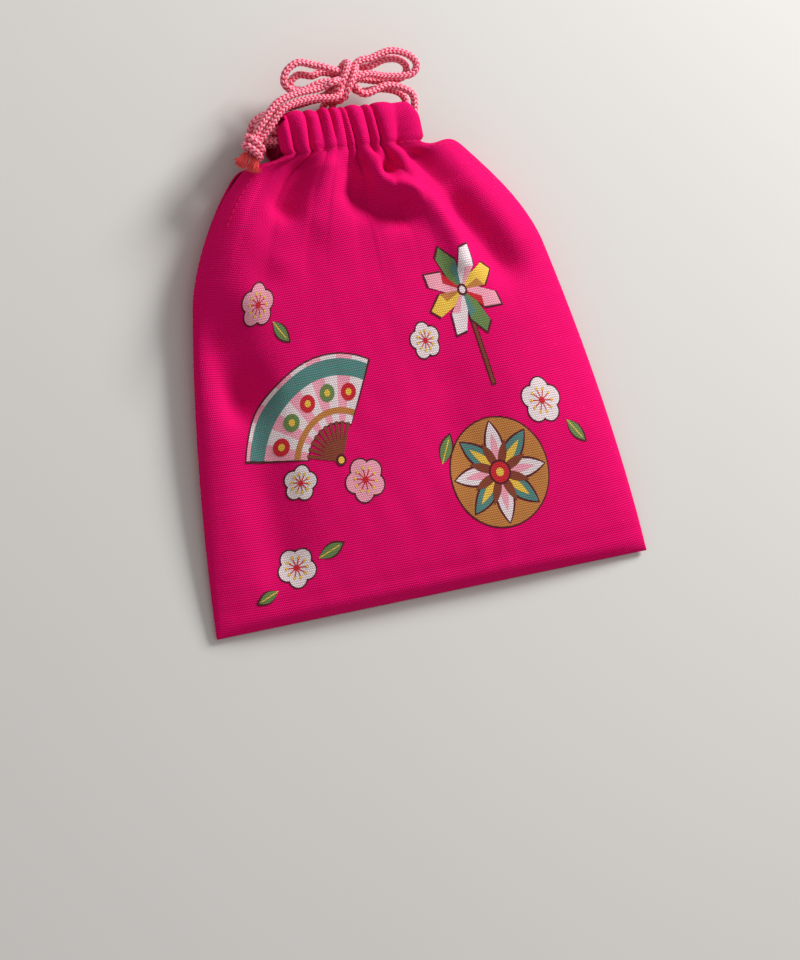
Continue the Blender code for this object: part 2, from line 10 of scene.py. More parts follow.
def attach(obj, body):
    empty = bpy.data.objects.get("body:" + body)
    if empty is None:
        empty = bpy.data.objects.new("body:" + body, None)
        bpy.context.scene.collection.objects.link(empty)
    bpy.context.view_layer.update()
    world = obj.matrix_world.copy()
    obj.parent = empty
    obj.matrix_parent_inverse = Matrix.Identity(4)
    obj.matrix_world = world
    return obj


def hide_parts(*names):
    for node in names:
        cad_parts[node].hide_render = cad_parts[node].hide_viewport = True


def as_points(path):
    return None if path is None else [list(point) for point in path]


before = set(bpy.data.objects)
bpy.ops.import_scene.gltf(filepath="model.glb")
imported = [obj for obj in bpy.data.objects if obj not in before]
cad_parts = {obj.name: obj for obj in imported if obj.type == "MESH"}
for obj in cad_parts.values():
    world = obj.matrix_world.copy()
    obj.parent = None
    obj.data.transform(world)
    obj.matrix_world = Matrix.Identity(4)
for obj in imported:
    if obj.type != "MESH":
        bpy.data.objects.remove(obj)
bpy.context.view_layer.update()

# Sizes that the looks share with the frame
pouch = {
    "width": 0.2,
    "height": 0.2085,
    "cloth": 0.0009,
    "clearance": 0.0003,
    "casingWidth": 0.064,
    "casingHeight": 0.017,
    "mouthInset": 0.0034,
    "hemAllowance": 0.0012,
    "mouthGap": 0.0054,
    "slitLength": 0.0485,
    "cordDiameter": 0.0034,
    "gatherDepth": 0.0043,
    "topRoll": 0.0042,
    "sewnShare": 1.25,
    "lowCord": 0.0105,
    "highCord": 0.006,
    "drop": 0.005,
    "dropReach": 0.045,
    "dropFade": 0.02,
    "sideTaper": 0.065,
    "sideBow": 0.55,
    "shoulderLength": 0.0555,
    "shoulderPull": 0.037,
    "earLift": 0.0065,
    "leftEarLift": 0.003,
}
topLine = pouch["height"]
halfCloth = pouch["cloth"] / 2
cordRadius = pouch["cordDiameter"] / 2
cordRoom = cordRadius + pouch["clearance"] + halfCloth
gatherDepth = pouch["gatherDepth"]
backRidgeZ = halfCloth
backValleyZ = backRidgeZ + gatherDepth
backCordZ = backValleyZ + cordRoom
backHemZ = backCordZ + cordRoom
frontHemZ = backHemZ + pouch["cloth"] + pouch["mouthGap"]
frontCordZ = frontHemZ + cordRoom
frontValleyZ = frontCordZ + cordRoom
mouthZ = (backHemZ + frontHemZ) / 2
sewnStep = pouch["sewnShare"] * (pouch["cloth"] + pouch["clearance"])
topY = topLine - halfCloth
stitchY = topLine - pouch["casingHeight"]
foldY = topLine - pouch["topRoll"]
slitY = topLine - pouch["slitLength"]
lowCordY = topLine - pouch["lowCord"]
highCordY = topLine - pouch["highCord"]


def ease(value):
    f = np.clip(value, 0.0, 1.0)
    return f * f * (3 - 2 * f)


def mouthDrop(x, y):
    # The mouth slants: it sinks towards its right end
    past = ease((x - pouch["casingWidth"] / 2) / pouch["dropFade"])
    share = np.clip(x / pouch["casingWidth"] + 0.5, 0, 1) * (1 - past)
    return pouch["drop"] * share * ease((y - stitchY) / pouch["dropReach"] + 1)


def newObject(name, data):
    made = bpy.data.objects.new(name, data)
    bpy.context.scene.collection.objects.link(made)
    return made


def meshFrom(name, points, faces, uvs=None):
    # uvs holds one pair for each corner of each face, in order
    data = bpy.data.meshes.new(name)
    data.from_pydata([tuple(p) for p in points], [], faces)
    if uvs is not None:
        layer = data.uv_layers.new(name="clothMap")
        layer.data.foreach_set("uv", np.asarray(uvs, dtype=np.float32).ravel())
    data.shade_smooth()
    return data


# Camera, at the photograph's angle
camera = {
    "right": (0.901, -0.217, 0.376),
    "up": (0.1834, 0.975, 0.1234),
    "towards": (-0.393, -0.042, 0.918),
    "aim": (-0.003, -0.05425, 0.0),
    "distance": 4.0,
    "lens": 358.2,
}


def makeCamera():
    towards = Vector(camera["towards"]).normalized()
    up = Vector(camera["up"])
    up = (up - towards * up.dot(towards)).normalized()
    right = up.cross(towards)
    place = Vector(camera["aim"]) + towards * camera["distance"]
    data = bpy.data.cameras.new("photoCamera")
    data.lens = camera["lens"]
    data.sensor_width = 36.0
    data.clip_start = 0.01
    made = newObject("photoCamera", data)
    made.matrix_world = Matrix.Translation(place) @ Matrix((right, up, towards)).transposed().to_4x4()
    bpy.context.scene.camera = made


makeCamera()
print("camera placed")


# Shader helpers
def link(tree, fromSocket, toSocket):
    tree.links.new(fromSocket, toSocket)


def mathFor(tree):
    # Gives the function that adds one math node to the tree and returns its output
    def calc(operation, *values, clamp=False):
        node = tree.nodes.new("ShaderNodeMath")
        node.operation = operation
        node.use_clamp = clamp
        for socket, value in zip(node.inputs, values):
            if isinstance(value, (int, float)):
                socket.default_value = value
            else:
                link(tree, value, socket)
        return node.outputs[0]

    return calc


def mixColour(tree, factor, first, second, blend="MIX"):
    node = tree.nodes.new("ShaderNodeMix")
    node.data_type = "RGBA"
    node.blend_type = blend
    for socket, value in ((node.inputs[0], factor), (node.inputs[6], first), (node.inputs[7], second)):
        if isinstance(value, (int, float)):
            socket.default_value = value
        elif isinstance(value, tuple):
            socket.default_value = (*value, 1.0)
        else:
            link(tree, value, socket)
    return node.outputs[2]


def noiseNode(tree, vector, scale, detail=2.0, roughness=0.5):
    node = tree.nodes.new("ShaderNodeTexNoise")
    link(tree, vector, node.inputs["Vector"])
    node.inputs["Scale"].default_value = scale
    node.inputs["Detail"].default_value = detail
    node.inputs["Roughness"].default_value = roughness
    return node.outputs["Fac"]


def stretched(tree, vector, scale):
    node = tree.nodes.new("ShaderNodeMapping")
    link(tree, vector, node.inputs["Vector"])
    node.inputs["Scale"].default_value = scale
    return node.outputs["Vector"]


def shaded(tree, colour, value):
    node = tree.nodes.new("ShaderNodeHueSaturation")
    link(tree, colour, node.inputs["Color"])
    link(tree, value, node.inputs["Value"])
    return node.outputs[0]


def newGroup(name, inputs, outputs):
    # A node group on a map: its other inputs by name and first value, then its outputs by name
    group = bpy.data.node_groups.new(name, "ShaderNodeTree")
    group.interface.new_socket(name="Vector", in_out="INPUT", socket_type="NodeSocketVector")
    for label, value in inputs.items():
        socket = group.interface.new_socket(name=label, in_out="INPUT", socket_type="NodeSocketFloat")
        socket.default_value = value
    for label in outputs:
        group.interface.new_socket(name=label, in_out="OUTPUT", socket_type="NodeSocketFloat")
    given, made = group.nodes.new("NodeGroupInput"), group.nodes.new("NodeGroupOutput")
    split = group.nodes.new("ShaderNodeSeparateXYZ")
    link(group, given.outputs["Vector"], split.inputs[0])
    return group, given.outputs, split.outputs, made.inputs


def placeGroup(tree, group, map, values):
    node = tree.nodes.new("ShaderNodeGroup")
    node.node_tree = group
    for name, value in values.items():
        node.inputs[name].default_value = value
    link(tree, mapOf(tree, map), node.inputs["Vector"])
    return node.outputs


def interlace(calc, across, along):
    # Height of plain interlacing: threads of two directions, over and under by turns
    sinA = calc("SINE", calc("MULTIPLY", across, math.pi))
    sinB = calc("SINE", calc("MULTIPLY", along, math.pi))
    turn = calc("MULTIPLY", sinA, sinB)
    over = calc("SQRT", calc("MULTIPLY_ADD", turn, 0.5, 0.5))
    under = calc("SQRT", calc("MULTIPLY_ADD", turn, -0.5, 0.5))
    return calc("MULTIPLY", calc("ABSOLUTE", sinA), over), calc("MULTIPLY", calc("ABSOLUTE", sinB), under)


canvas = {
    "pink": (0.89, 0.0025, 0.145),
    # Painted shade: the darker pink that the gaps between the threads are coloured
    "poreShadePink": (0.43, 0.0006, 0.034),
    "palePink": (0.96, 0.007, 0.225),
    "ribPitch": 0.00096,
    "relief": 0.0003,
    "bump": 0.9,
    "roughness": 0.86,
    "specular": 0.045,
    "poreShade": 0.75,
    "cloudScale": 34.0,
    "cloud": 0.16,
}
weaveForm = {
    "wobbleScale": 260.0,
    "wobble": 0.00028,
    "warpPitch": 0.48,
    "warpHeight": 0.43,
    "slubFine": 1300.0,
    "slubLong": 70.0,
}


def makeWeaveGroup():
    # Canvas weave on a map in metres
    group, given, split, made = newGroup("canvasWeave", {"Pitch": canvas["ribPitch"]}, ("Height", "Shade", "Pore"))
    calc = mathFor(group)
    wobble = noiseNode(group, given["Vector"], weaveForm["wobbleScale"], 2.0)
    drift = calc("MULTIPLY", calc("SUBTRACT", wobble, 0.5), weaveForm["wobble"])
    warpPitch = calc("MULTIPLY", given["Pitch"], weaveForm["warpPitch"])
    across = calc("DIVIDE", calc("ADD", split[0], drift), warpPitch)
    along = calc("DIVIDE", calc("SUBTRACT", split[1], drift), given["Pitch"])
    warp, weft = interlace(calc, across, along)
    height = calc("MAXIMUM", calc("MULTIPLY", warp, weaveForm["warpHeight"]), weft)
    fine, long = weaveForm["slubFine"], weaveForm["slubLong"]
    slubWarp, slubWeft = (
        noiseNode(group, stretched(group, given["Vector"], scale), 1.0, 2.0)
        for scale in ((fine, long, 1.0), (long, fine, 1.0))
    )
    slub = calc("MULTIPLY", calc("ADD", slubWarp, slubWeft), 0.5)
    link(group, calc("MULTIPLY", height, calc("ADD", slub, 0.5)), made["Height"])
    link(group, slub, made["Shade"])
    # Pore marks the gaps between the threads; the materials paint shade there
    link(group, calc("SUBTRACT", 1.0, height, clamp=True), made["Pore"])
    return group


braid = {
    "strand": (0.95, 0.33, 0.46),
    # Painted shade: the crimson of the grooves between the strands
    "grooveShadeCrimson": (0.76, 0.003, 0.045),
    "coral": (0.98, 0.13, 0.13),
    "coralDark": (0.92, 0.05, 0.065),
    "legs": 8,
    "pitch": 0.0019,
    "slant": 0.62,
    "relief": 0.24,
    "round": 0.45,
    "yarns": 44.0,
    "roughness": 0.38,
    "specular": 0.6,
    "frayRoughness": 0.6,
    "fraySpecular": 0.3,
    "fibreShade": 0.07,
    "fibreRelief": 0.08,
    "bumpHeight": 0.0003,
    "bump": 0.6,
    "sides": 32,
    "ringStep": 0.00038,
}


braidInputs = {"Legs": float(braid["legs"]), "Pitch": braid["pitch"], "Slant": braid["slant"]}


def makeBraidGroup():
    # Braid of slanting strands that meet in Vs: U goes once round the cord, V runs along it in metres
    group, given, split, made = newGroup("roundBraid", braidInputs, ("Height", "Groove", "Fibre"))
    calc = mathFor(group)
    leg = calc("MULTIPLY", split[0], given["Legs"])
    run = calc("DIVIDE", split[1], given["Pitch"])
    phase = calc("ADD", run, calc("MULTIPLY", calc("PINGPONG", leg, 1.0), given["Slant"]))
    strand = calc("ABSOLUTE", calc("SINE", calc("MULTIPLY", phase, math.pi)))
    middle = calc("ABSOLUTE", calc("SINE", calc("MULTIPLY", leg, math.pi)))
    height = calc("MULTIPLY", strand, calc("MULTIPLY_ADD", middle, braid["round"], 1 - braid["round"]))
    link(group, height, made["Height"])
    # Groove: the low places between the strands, where the material paints shade
    link(group, calc("MULTIPLY_ADD", height, -2.4, 1.85, clamp=True), made["Groove"])
    link(group, calc("SINE", calc("MULTIPLY", phase, braid["yarns"])), made["Fibre"])
    return group


weaveGroup = makeWeaveGroup()
braidGroup = makeBraidGroup()


def startMaterial(name, roughness, specular, sheen=0.0, sheenTint=(1.0, 1.0, 1.0)):
    material = bpy.data.materials.new(name)
    material.use_nodes = True
    shader = material.node_tree.nodes["Principled BSDF"]
    shader.inputs["Roughness"].default_value = roughness
    shader.inputs["Specular IOR Level"].default_value = specular
    shader.inputs["Sheen Weight"].default_value = sheen
    shader.inputs["Sheen Roughness"].default_value = 0.5
    shader.inputs["Sheen Tint"].default_value = (*sheenTint, 1.0)
    return material, material.node_tree, shader


def mapOf(tree, name):
    node = tree.nodes.new("ShaderNodeUVMap")
    node.uv_map = name
    return node.outputs[0]


def addBump(tree, shader, height, distance, strength):
    bump = tree.nodes.new("ShaderNodeBump")
    bump.inputs["Distance"].default_value = distance
    bump.inputs["Strength"].default_value = strength
    link(tree, height, bump.inputs["Height"])
    link(tree, bump.outputs[0], shader.inputs["Normal"])


def placeWeave(tree):
    return placeGroup(tree, weaveGroup, "clothMap", {"Pitch": canvas["ribPitch"]})


def makeCanvas():
    material, tree, shader = startMaterial("pinkCanvas", canvas["roughness"], canvas["specular"])
    calc = mathFor(tree)
    weave = placeWeave(tree)
    cloudy = noiseNode(tree, mapOf(tree, "clothMap"), canvas["cloudScale"], 3.0, 0.55)
    base = mixColour(tree, weave["Shade"], canvas["pink"], canvas["palePink"])
    # Painted shade: the gaps between the threads darkened towards the shade pink
    base = mixColour(tree, calc("MULTIPLY", weave["Pore"], canvas["poreShade"]), base, canvas["poreShadePink"])
    tone = calc("MULTIPLY_ADD", cloudy, canvas["cloud"], 1 - canvas["cloud"] / 2)
    link(tree, shaded(tree, base, tone), shader.inputs["Base Color"])
    addBump(tree, shader, weave["Height"], canvas["relief"], canvas["bump"])
    return material


def makeBraid():
    material, tree, shader = startMaterial("braidedCord", braid["roughness"], braid["specular"])
    calc = mathFor(tree)
    look = placeGroup(tree, braidGroup, "cordMap", braidInputs)
    # Painted shade: the grooves between the strands coloured crimson
    base = mixColour(tree, look["Groove"], braid["strand"], braid["grooveShadeCrimson"])
    fibre = calc("MULTIPLY_ADD", look["Fibre"], braid["fibreShade"], 1.0)
    link(tree, shaded(tree, base, fibre), shader.inputs["Base Color"])
    height = calc("MULTIPLY_ADD", look["Fibre"], braid["fibreRelief"], look["Height"])
    addBump(tree, shader, height, braid["bumpHeight"], braid["bump"])
    return material


def makeFrayed():
    material, tree, shader = startMaterial("frayedEnds", braid["frayRoughness"], braid["fraySpecular"])
    place = tree.nodes.new("ShaderNodeTexCoord").outputs["Object"]
    speck = noiseNode(tree, place, 900.0, 2.0)
    link(tree, mixColour(tree, speck, braid["coral"], braid["coralDark"]), shader.inputs["Base Color"])
    return material


canvasMaterial = makeCanvas()
braidMaterial = makeBraid()
frayedMaterial = makeFrayed()


# Cords
def hermite(f, start, end, leave, arrive):
    # A smooth way from start to end, with its slope at each
    return (
        (1 + 2 * f) * (1 - f) ** 2 * start + f * (1 - f) ** 2 * leave
        + f ** 2 * (3 - 2 * f) * end + f ** 2 * (f - 1) * arrive
    )


def runLengths(line):
    # How far along a line of points each one is
    return np.concatenate(([0.0], np.cumsum(np.linalg.norm(np.diff(line, axis=0), axis=1))))


def smoothRoute(points, step):
    # Points at even steps on a smooth curve through the route's own points
    route = [np.array(p, dtype=float) for p in points]
    dense = []
    for k in range(len(route) - 1):
        before, after = route[max(k - 1, 0)], route[min(k + 2, len(route) - 1)]
        start, end = route[k], route[k + 1]
        leave, arrive = (end - before) / 2, (after - start) / 2
        dense += [hermite(f, start, end, leave, arrive) for f in np.arange(24) / 24]
    dense = np.array(dense + [route[-1]])
    reached = runLengths(dense)
    marks = np.linspace(0, reached[-1], max(8, int(reached[-1] / step)) + 1)
    return np.stack([np.interp(marks, reached, dense[:, axis]) for axis in range(3)], axis=1), reached[-1]


def sideways(heading):
    side = np.cross(heading, (0, 0, 1.0))
    side /= np.linalg.norm(side)
    return side, np.cross(side, heading)


def ringFrames(path):
    # A pair of sideways directions at each ring, carried along without twist
    heading = np.gradient(path, axis=0)
    heading /= np.linalg.norm(heading, axis=1)[:, None]
    side = np.cross(heading[0], (0.0, 0.0, 1.0))
    if np.linalg.norm(side) < 0.2:
        side = np.cross(heading[0], (1.0, 0.0, 0.0))
    sides = []
    for direction in heading:
        side = side - direction * np.dot(side, direction)
        side = side / np.linalg.norm(side)
        sides.append(side)
    sides = np.array(sides)
    return sides, np.cross(heading, sides)


def braidTube(name, route, radius=cordRadius, taper=False):
    path, length = smoothRoute(route, braid["ringStep"])
    first, second = ringFrames(path)
    count = braid["sides"]
    along = np.linspace(0, length, len(path))[:, None]
    turn = np.arange(count + 1)[None, :] / count
    leg = turn * braid["legs"]
    slanted = 1 - np.abs(leg % 2 - 1)
    strand = np.abs(np.sin(math.pi * (along / braid["pitch"] + braid["slant"] * slanted)))
    height = strand * (1 - braid["round"] + braid["round"] * np.abs(np.sin(math.pi * leg)))
    size = radius * (1 - braid["relief"] + braid["relief"] * height)
    if taper:
        ends = np.minimum(along, length - along) / radius
        size = size * np.sqrt(np.clip(1 - (1 - np.clip(ends, 0, 1)) ** 2, 0.05, 1))
    angle = turn * 2 * math.pi
    points = (
        path[:, None, :] + first[:, None, :] * (size * np.cos(angle))[:, :, None]
        + second[:, None, :] * (size * np.sin(angle))[:, :, None]
    )[:, :count, :]
    faces, uvs = [], []
    for r in range(len(path) - 1):
        for c in range(count):
            d = (c + 1) % count
            faces.append((r * count + c, r * count + d, (r + 1) * count + d, (r + 1) * count + c))
            low, high = along[r, 0], along[r + 1, 0]
            uvs += [(c / count, low), ((c + 1) / count, low), ((c + 1) / count, high), (c / count, high)]
    last = (len(path) - 1) * count
    faces.append(tuple(range(count))[::-1])
    faces.append(tuple(last + c for c in range(count)))
    uvs += [(c / count, 0.0) for c in range(count)] + [(c / count, length) for c in range(count)]
    data = meshFrom(name, points.reshape(-1, 3), faces)
    layer = data.uv_layers.new(name="cordMap")
    layer.data.foreach_set("uv", np.asarray(uvs, dtype=np.float32).ravel())
    data.materials.append(braidMaterial)
    made = newObject(name, data)
    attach(made, "root")
    return made, path, length


def fromTop(x, up, z):
    return (x, topLine / 2 + up, z)


casingEdge = pouch["casingWidth"] / 2 - pouch["mouthInset"]
bowKnot = {
    "place": (0.004, 0.009),
    "above": 0.0037,
    "lean": math.radians(50),
    "long": 0.008,
    "deep": 0.0052,
    "spacing": 0.00185,
    "turns": (-0.62, 0.72),
    "steps": 19,
    "slope": 0.0016,
    "skew": 0.0,
    "raised": 0.0,
}
knotPlace = np.array(fromTop(*bowKnot["place"], mouthZ + bowKnot["above"]))
leanWay = np.array((math.cos(bowKnot["lean"]), math.sin(bowKnot["lean"]), 0.0))
crossWay = np.array((-math.sin(bowKnot["lean"]), math.cos(bowKnot["lean"]), 0.0))


def laid(*points):
    # Points in millimetres from the middle of the top edge
    return [fromTop(*(np.array(point) / 1000)) for point in points]


def inKnot(lean, up, cross=0.0):
    return tuple(knotPlace + leanWay * lean + crossWay * cross + np.array((0, 0, up)))


def atKnot(azimuth, elevation, reach):
    level = math.cos(math.radians(elevation))
    return tuple(knotPlace + reach * np.array((
        level * math.cos(math.radians(azimuth)), level * math.sin(math.radians(azimuth)),
        math.sin(math.radians(elevation)),
    )))


def makeStrands():
    # Each free strand: out of the casing, through the knot, round its loop, back through and out to its end knot
    edge = casingEdge
    low = lowCordY - topLine / 2 - mouthDrop(-edge, stitchY)
    high = highCordY - topLine / 2 - mouthDrop(edge, stitchY)
    return {
        "leftFrontStrand": [
            (-edge, low, frontCordZ), (-edge - 0.004, low + 0.0004, frontCordZ),
            *laid((-37.8, -8.6, 18.0), (-38.8, -4.2, 17.0), (-35.2, 0.4, 15.8), (-27.0, 2.6, 15.2),
            (-15.0, 3.4, 15.2)),
            atKnot(210, 0, 0.01), inKnot(-0.0022, 0.001), atKnot(42, 12, 0.01),
            *laid((18.0, 16.4, 18.2), (27.0, 18.0, 18.4), (35.0, 15.0, 18.0), (38.0, 10.2, 17.6),
            (34.0, 6.6, 17.2), (23.0, 8.0, 17.2)),
            atKnot(6, 18, 0.01), inKnot(-0.002, 0.0036), atKnot(224, 30, 0.0105),
            *laid((-12.2, 3.6, 22.2), (-20.0, 3.4, 23.0), (-28.3, 1.5, 23.8), (-35.1, -4.2, 23.4),
            (-38.9, -7.6, 22.4), (-43.3, -10.7, 21.6)),
        ],
        "leftBackStrand": [
            (-edge, low, backCordZ), (-edge - 0.004, low + 0.0004, backCordZ),
            *laid((-37.8, -8.6, 7.6), (-38.8, -4.2, 8.6), (-35.2, 0.4, 9.8), (-27.0, 2.4, 10.8),
            (-14.0, 3.4, 11.2)),
            atKnot(208, -30, 0.0095), inKnot(-0.0018, -0.003), atKnot(32, -22, 0.0098),
            *laid((18.0, 13.4, 13.8), (25.4, 15.1, 14.0), (31.8, 14.1, 14.0), (34.9, 10.2, 13.6),
            (31.6, 6.3, 13.0), (21.5, 7.0, 12.2)),
            atKnot(0, -20, 0.0098), inKnot(0.0006, 0.0004), atKnot(180, 46, 0.01),
            *laid((-9.8, 7.4, 22.2), (-20.0, 7.0, 23.0), (-30.3, 4.6, 23.8), (-38.2, -2.2, 23.4),
            (-42.2, -6.6, 22.4), (-45.3, -11.0, 21.6)),
        ],
        "rightFrontStrand": [
            (edge, high, frontCordZ), (edge + 0.003, high + 0.001, frontCordZ),
            *laid((33.4, -2.8, 17.8), (30.2, 1.2, 17.4), (22.5, 4.0, 17.2)),
            atKnot(-42, 6, 0.01), inKnot(0.0024, 0.0012), atKnot(136, 16, 0.0095),
            *laid((-8.0, 17.8, 18.0), (-15.0, 20.0, 18.4), (-21.0, 17.2, 18.0), (-22.5, 12.0, 17.4),
            (-17.0, 8.0, 17.2)),
            atKnot(174, 12, 0.0098), inKnot(-0.001, -0.0012), atKnot(238, -58, 0.0085),
            *laid((1.4, 3.4, 6.2), (-0.8, 2.4, 4.0), (-2.2, -0.4, 2.6), (-2.2, -5.0, 2.0), (-2.2, -16.0, 2.0),
            (-2.2, -22.0, 2.4), (-1.2, -28.0, 3.8)),
        ],
        "rightBackStrand": [
            (edge, high, backCordZ), (edge + 0.003, high + 0.001, backCordZ),
            *laid((33.4, -2.8, 8.4), (30.2, 1.2, 9.8), (22.5, 3.6, 11.2)),
            atKnot(-32, -26, 0.0098), inKnot(0.0026, -0.0026), atKnot(140, -22, 0.0095),
            *laid((-8.0, 14.0, 13.4), (-14.0, 15.4, 13.6), (-18.2, 13.0, 13.6), (-16.8, 9.8, 13.0),
            (-10.0, 8.4, 12.6)),
            atKnot(174, -24, 0.0098), inKnot(0.001, -0.0034), atKnot(294, -48, 0.0088),
            *laid((5.8, 3.4, 7.0), (3.6, 2.4, 4.2), (2.2, -0.4, 2.6), (2.2, -5.0, 2.0), (2.2, -16.0, 2.0),
            (2.2, -22.0, 2.4), (1.2, -28.0, 3.8)),
        ],
    }


def makeHeldRuns():
    # The part of each cord that the casings hold, with its turn from the front casing to the back one
    edge = casingEdge
    front = [
        (-edge - 0.0008, frontCordZ), (-edge * 0.5, frontCordZ), (edge * 0.3, frontCordZ), (edge - 0.004, frontCordZ),
        (edge, frontCordZ), (edge + 0.0038, mouthZ + 0.39 * (frontCordZ - backCordZ)),
    ]
    turns = front + [(edge + 0.0052, mouthZ)] + [(x, 2 * mouthZ - z) for x, z in front[::-1]]
    runs = {}
    for name, side, level in (("leftCordInCasing", 1, lowCordY), ("rightCordInCasing", -1, highCordY)):
        level -= topLine / 2
        drops = [float(mouthDrop(np.clip(side * x, -edge, edge), stitchY)) for x, _ in turns]
        runs[name] = [(side * x, level - drop, z) for (x, z), drop in zip(turns, drops)]
    return runs


def doubledBand(name, letters, knot, centre, ways, radius=cordRadius):
    # Two turns side by side round a knot, a little askew; ways are the directions round it and along it
    aroundWay, alongWay = ways
    pieces = []
    for letter, offset in zip(letters, (-1, 1)):
        route = []
        for turn in np.linspace(*knot["turns"], knot["steps"]):
            angle = turn * 2 * math.pi
            slant = offset * knot["spacing"] + knot["slope"] * turn + knot["skew"] * math.sin(angle)
            up = np.array((0, 0, math.cos(angle) * knot["deep"] + knot["raised"]))
            route.append(tuple(centre + aroundWay * math.sin(angle) * knot["long"] + up + alongWay * slant))
        pieces.append(braidTube(f"{name}{letter}", route, radius, taper=True)[0])
    return pieces


tuft = {
    "fibres": 230,
    "length": 0.0062,
    "thickness": 0.00026,
    "root": 0.0013,
    "spread": 0.0016,
    "rings": 5,
}


def tuftFibres(name, root, heading, seed):
    # Loose yarns of a frayed cord end: thin tapering hairs that spread as they go
    rng = np.random.default_rng(seed)
    heading = np.array(heading) / np.linalg.norm(heading)
    side, lift = sideways(heading)
    points, faces = [], []
    for _ in range(tuft["fibres"]):
        start = rng.normal(0, 0.38, 2)
        spread = start * 0.9 + rng.normal(0, 0.34, 2)
        reach = tuft["length"] * rng.uniform(0.72, 1.08)
        curl = rng.normal(0, 0.0005, 2)
        base = len(points)
        for f in np.linspace(0, 1, tuft["rings"]):
            middle = (
                np.array(root) + heading * reach * f
                + (side * start[0] + lift * start[1] * 0.8) * tuft["root"]
                + (side * spread[0] + lift * spread[1] * 0.6) * tuft["spread"] * f ** 1.5
                + side * curl[0] * math.sin(5 * f) + lift * curl[1] * math.sin(4 * f)
            )
            thick = tuft["thickness"] * (1 - 0.45 * f)
            for corner in range(3):
                angle = corner * 2 * math.pi / 3
                points.append(middle + side * thick * math.cos(angle) + lift * thick * math.sin(angle))
        last = base + 3 * (tuft["rings"] - 1)
        for low in range(base, last, 3):
            for corner in range(3):
                after = (corner + 1) % 3
                faces.append((low + corner, low + after, low + 3 + after, low + 3 + corner))
        faces.append((base, base + 2, base + 1))
        faces.append((last, last + 1, last + 2))
    data = meshFrom(name, points, faces)
    data.materials.append(frayedMaterial)
    made = newObject(name, data)
    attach(made, "root")
    return made


endKnot = {
    "long": 0.0039,
    "deep": 0.0023,
    "raised": 0.0002,
    "spacing": 0.0017,
    "slope": 0.0014,
    "skew": 0.001,
    "turns": (-0.6, 0.6),
    "steps": 15,
    "cord": 0.98,
    "tuftStart": 0.0034,
    "tuftGap": 0.0019,
    "tuftOpen": 0.22,
    "front": ((-0.0444, -0.0118, 0.0216), 238, -0.08),
    "back": ((0, -0.0296, 0.0042), -90, -0.1),
}


def makeEndKnot(name, place, degrees, lift):
    # An overhand knot in the doubled cord: two slanting turns over the strands, and the frayed ends beyond
    turn = math.radians(degrees)
    along = np.array((math.cos(turn), math.sin(turn), 0.0))
    across = np.array((-math.sin(turn), math.cos(turn), 0.0))
    up = np.array((0, 0, 1.0))
    centre = np.array(fromTop(*place))
    pieces = doubledBand(f"{name}Turn", "AB", endKnot, centre, (across, along), cordRadius * endKnot["cord"])
    for k, offset in enumerate((-1, 1)):
        root = centre + along * endKnot["tuftStart"] + across * offset * endKnot["tuftGap"]
        heading = along + across * offset * endKnot["tuftOpen"] + up * lift
        pieces.append(tuftFibres(f"{name}Fray{'AB'[k]}", root, heading, 11 + k + int(abs(turn) * 10)))
    return pieces


def makeCords():
    replaced = {
        "leftFrontStrand": ("right_loop_outer", "front_tail_a"),
        "leftBackStrand": ("right_loop_inner", "front_tail_b"),
        "rightFrontStrand": ("left_loop_outer", "back_tail_a"),
        "rightBackStrand": ("left_loop_inner", "back_tail_b"),
    }
    frontKnot = makeEndKnot("frontEndKnot", *endKnot["front"])
    backKnot = makeEndKnot("backEndKnot", *endKnot["back"])
    wraps = doubledBand("bowWrap", "LR", bowKnot, knotPlace, (leanWay, crossWay))
    for name, route in makeHeldRuns().items():
        braidTube(name, route)[0]
    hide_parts("left_drawcord")
    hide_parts("right_drawcord")
    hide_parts("bow_knot")
    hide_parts("front_end_knot")
    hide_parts("back_end_knot")
    for name, route in makeStrands().items():
        made, path, length = braidTube(name, route)
        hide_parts(*replaced[name])
        tuple(path[0])
        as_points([tuple(p) for p in path[:-2:4]] + [tuple(path[-1])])
        print(f"{name}: {length * 1000:.0f} mm")


makeCords()
print("cords made")


# Cloth
# gather: each gather's share of the width, height, reach down the panel and lean, from left to right, then how far
# each valley between them is filled at the casing's top and foot
gather = {
    "shares": (5.3, 7.2, 7.0, 4.8, 6.0, 3.8, 7.2, 4.8, 7.9, 13.0),
    "heights": (0.8, 1.0, 0.88, 1.0, 0.92, 0.84, 1.0, 0.86, 1.0, 0.72),
    "reaches": (1.25, 0.8, 1.4, 0.85, 1.15, 0.75, 1.55, 0.9, 1.35, 1.0),
    "leans": (1.0, 1.3, 0.78, 1.1, 0.84, 1.25, 0.9, 1.3, 0.8, 1.2),
    "tops": (0.0, 0.55, 0.35, 0.3, 0.0, 0.65, 0.15, 0.45, 0.25, 0.7, 0.0),
    "lows": (0.0, 0.1, 0.0, 0.75, 0.85, 0.35, 0.0, 0.3, 0.0, 0.15, 0.0),
    "reach": 0.018,
    "bulge": 0.0009,
    "scallop": 0.0026,
    "cornerDrop": 0.0026,
}
# Heights of the cloth along its middle and its seams, by share of the way up
frontCrown = (
    (0.0, 0.0018), (0.01, 0.005), (0.05, 0.0082), (0.12, 0.0108), (0.25, 0.014), (0.45, 0.0172),
    (0.7, 0.0196), (0.88, 0.0212), (1.0, frontValleyZ),
)
seamLift = ((0.0, 0.0018), (0.05, 0.0024), (0.2, 0.0038), (0.5, 0.006), (0.86, 0.0085), (1.0, 0.0085))
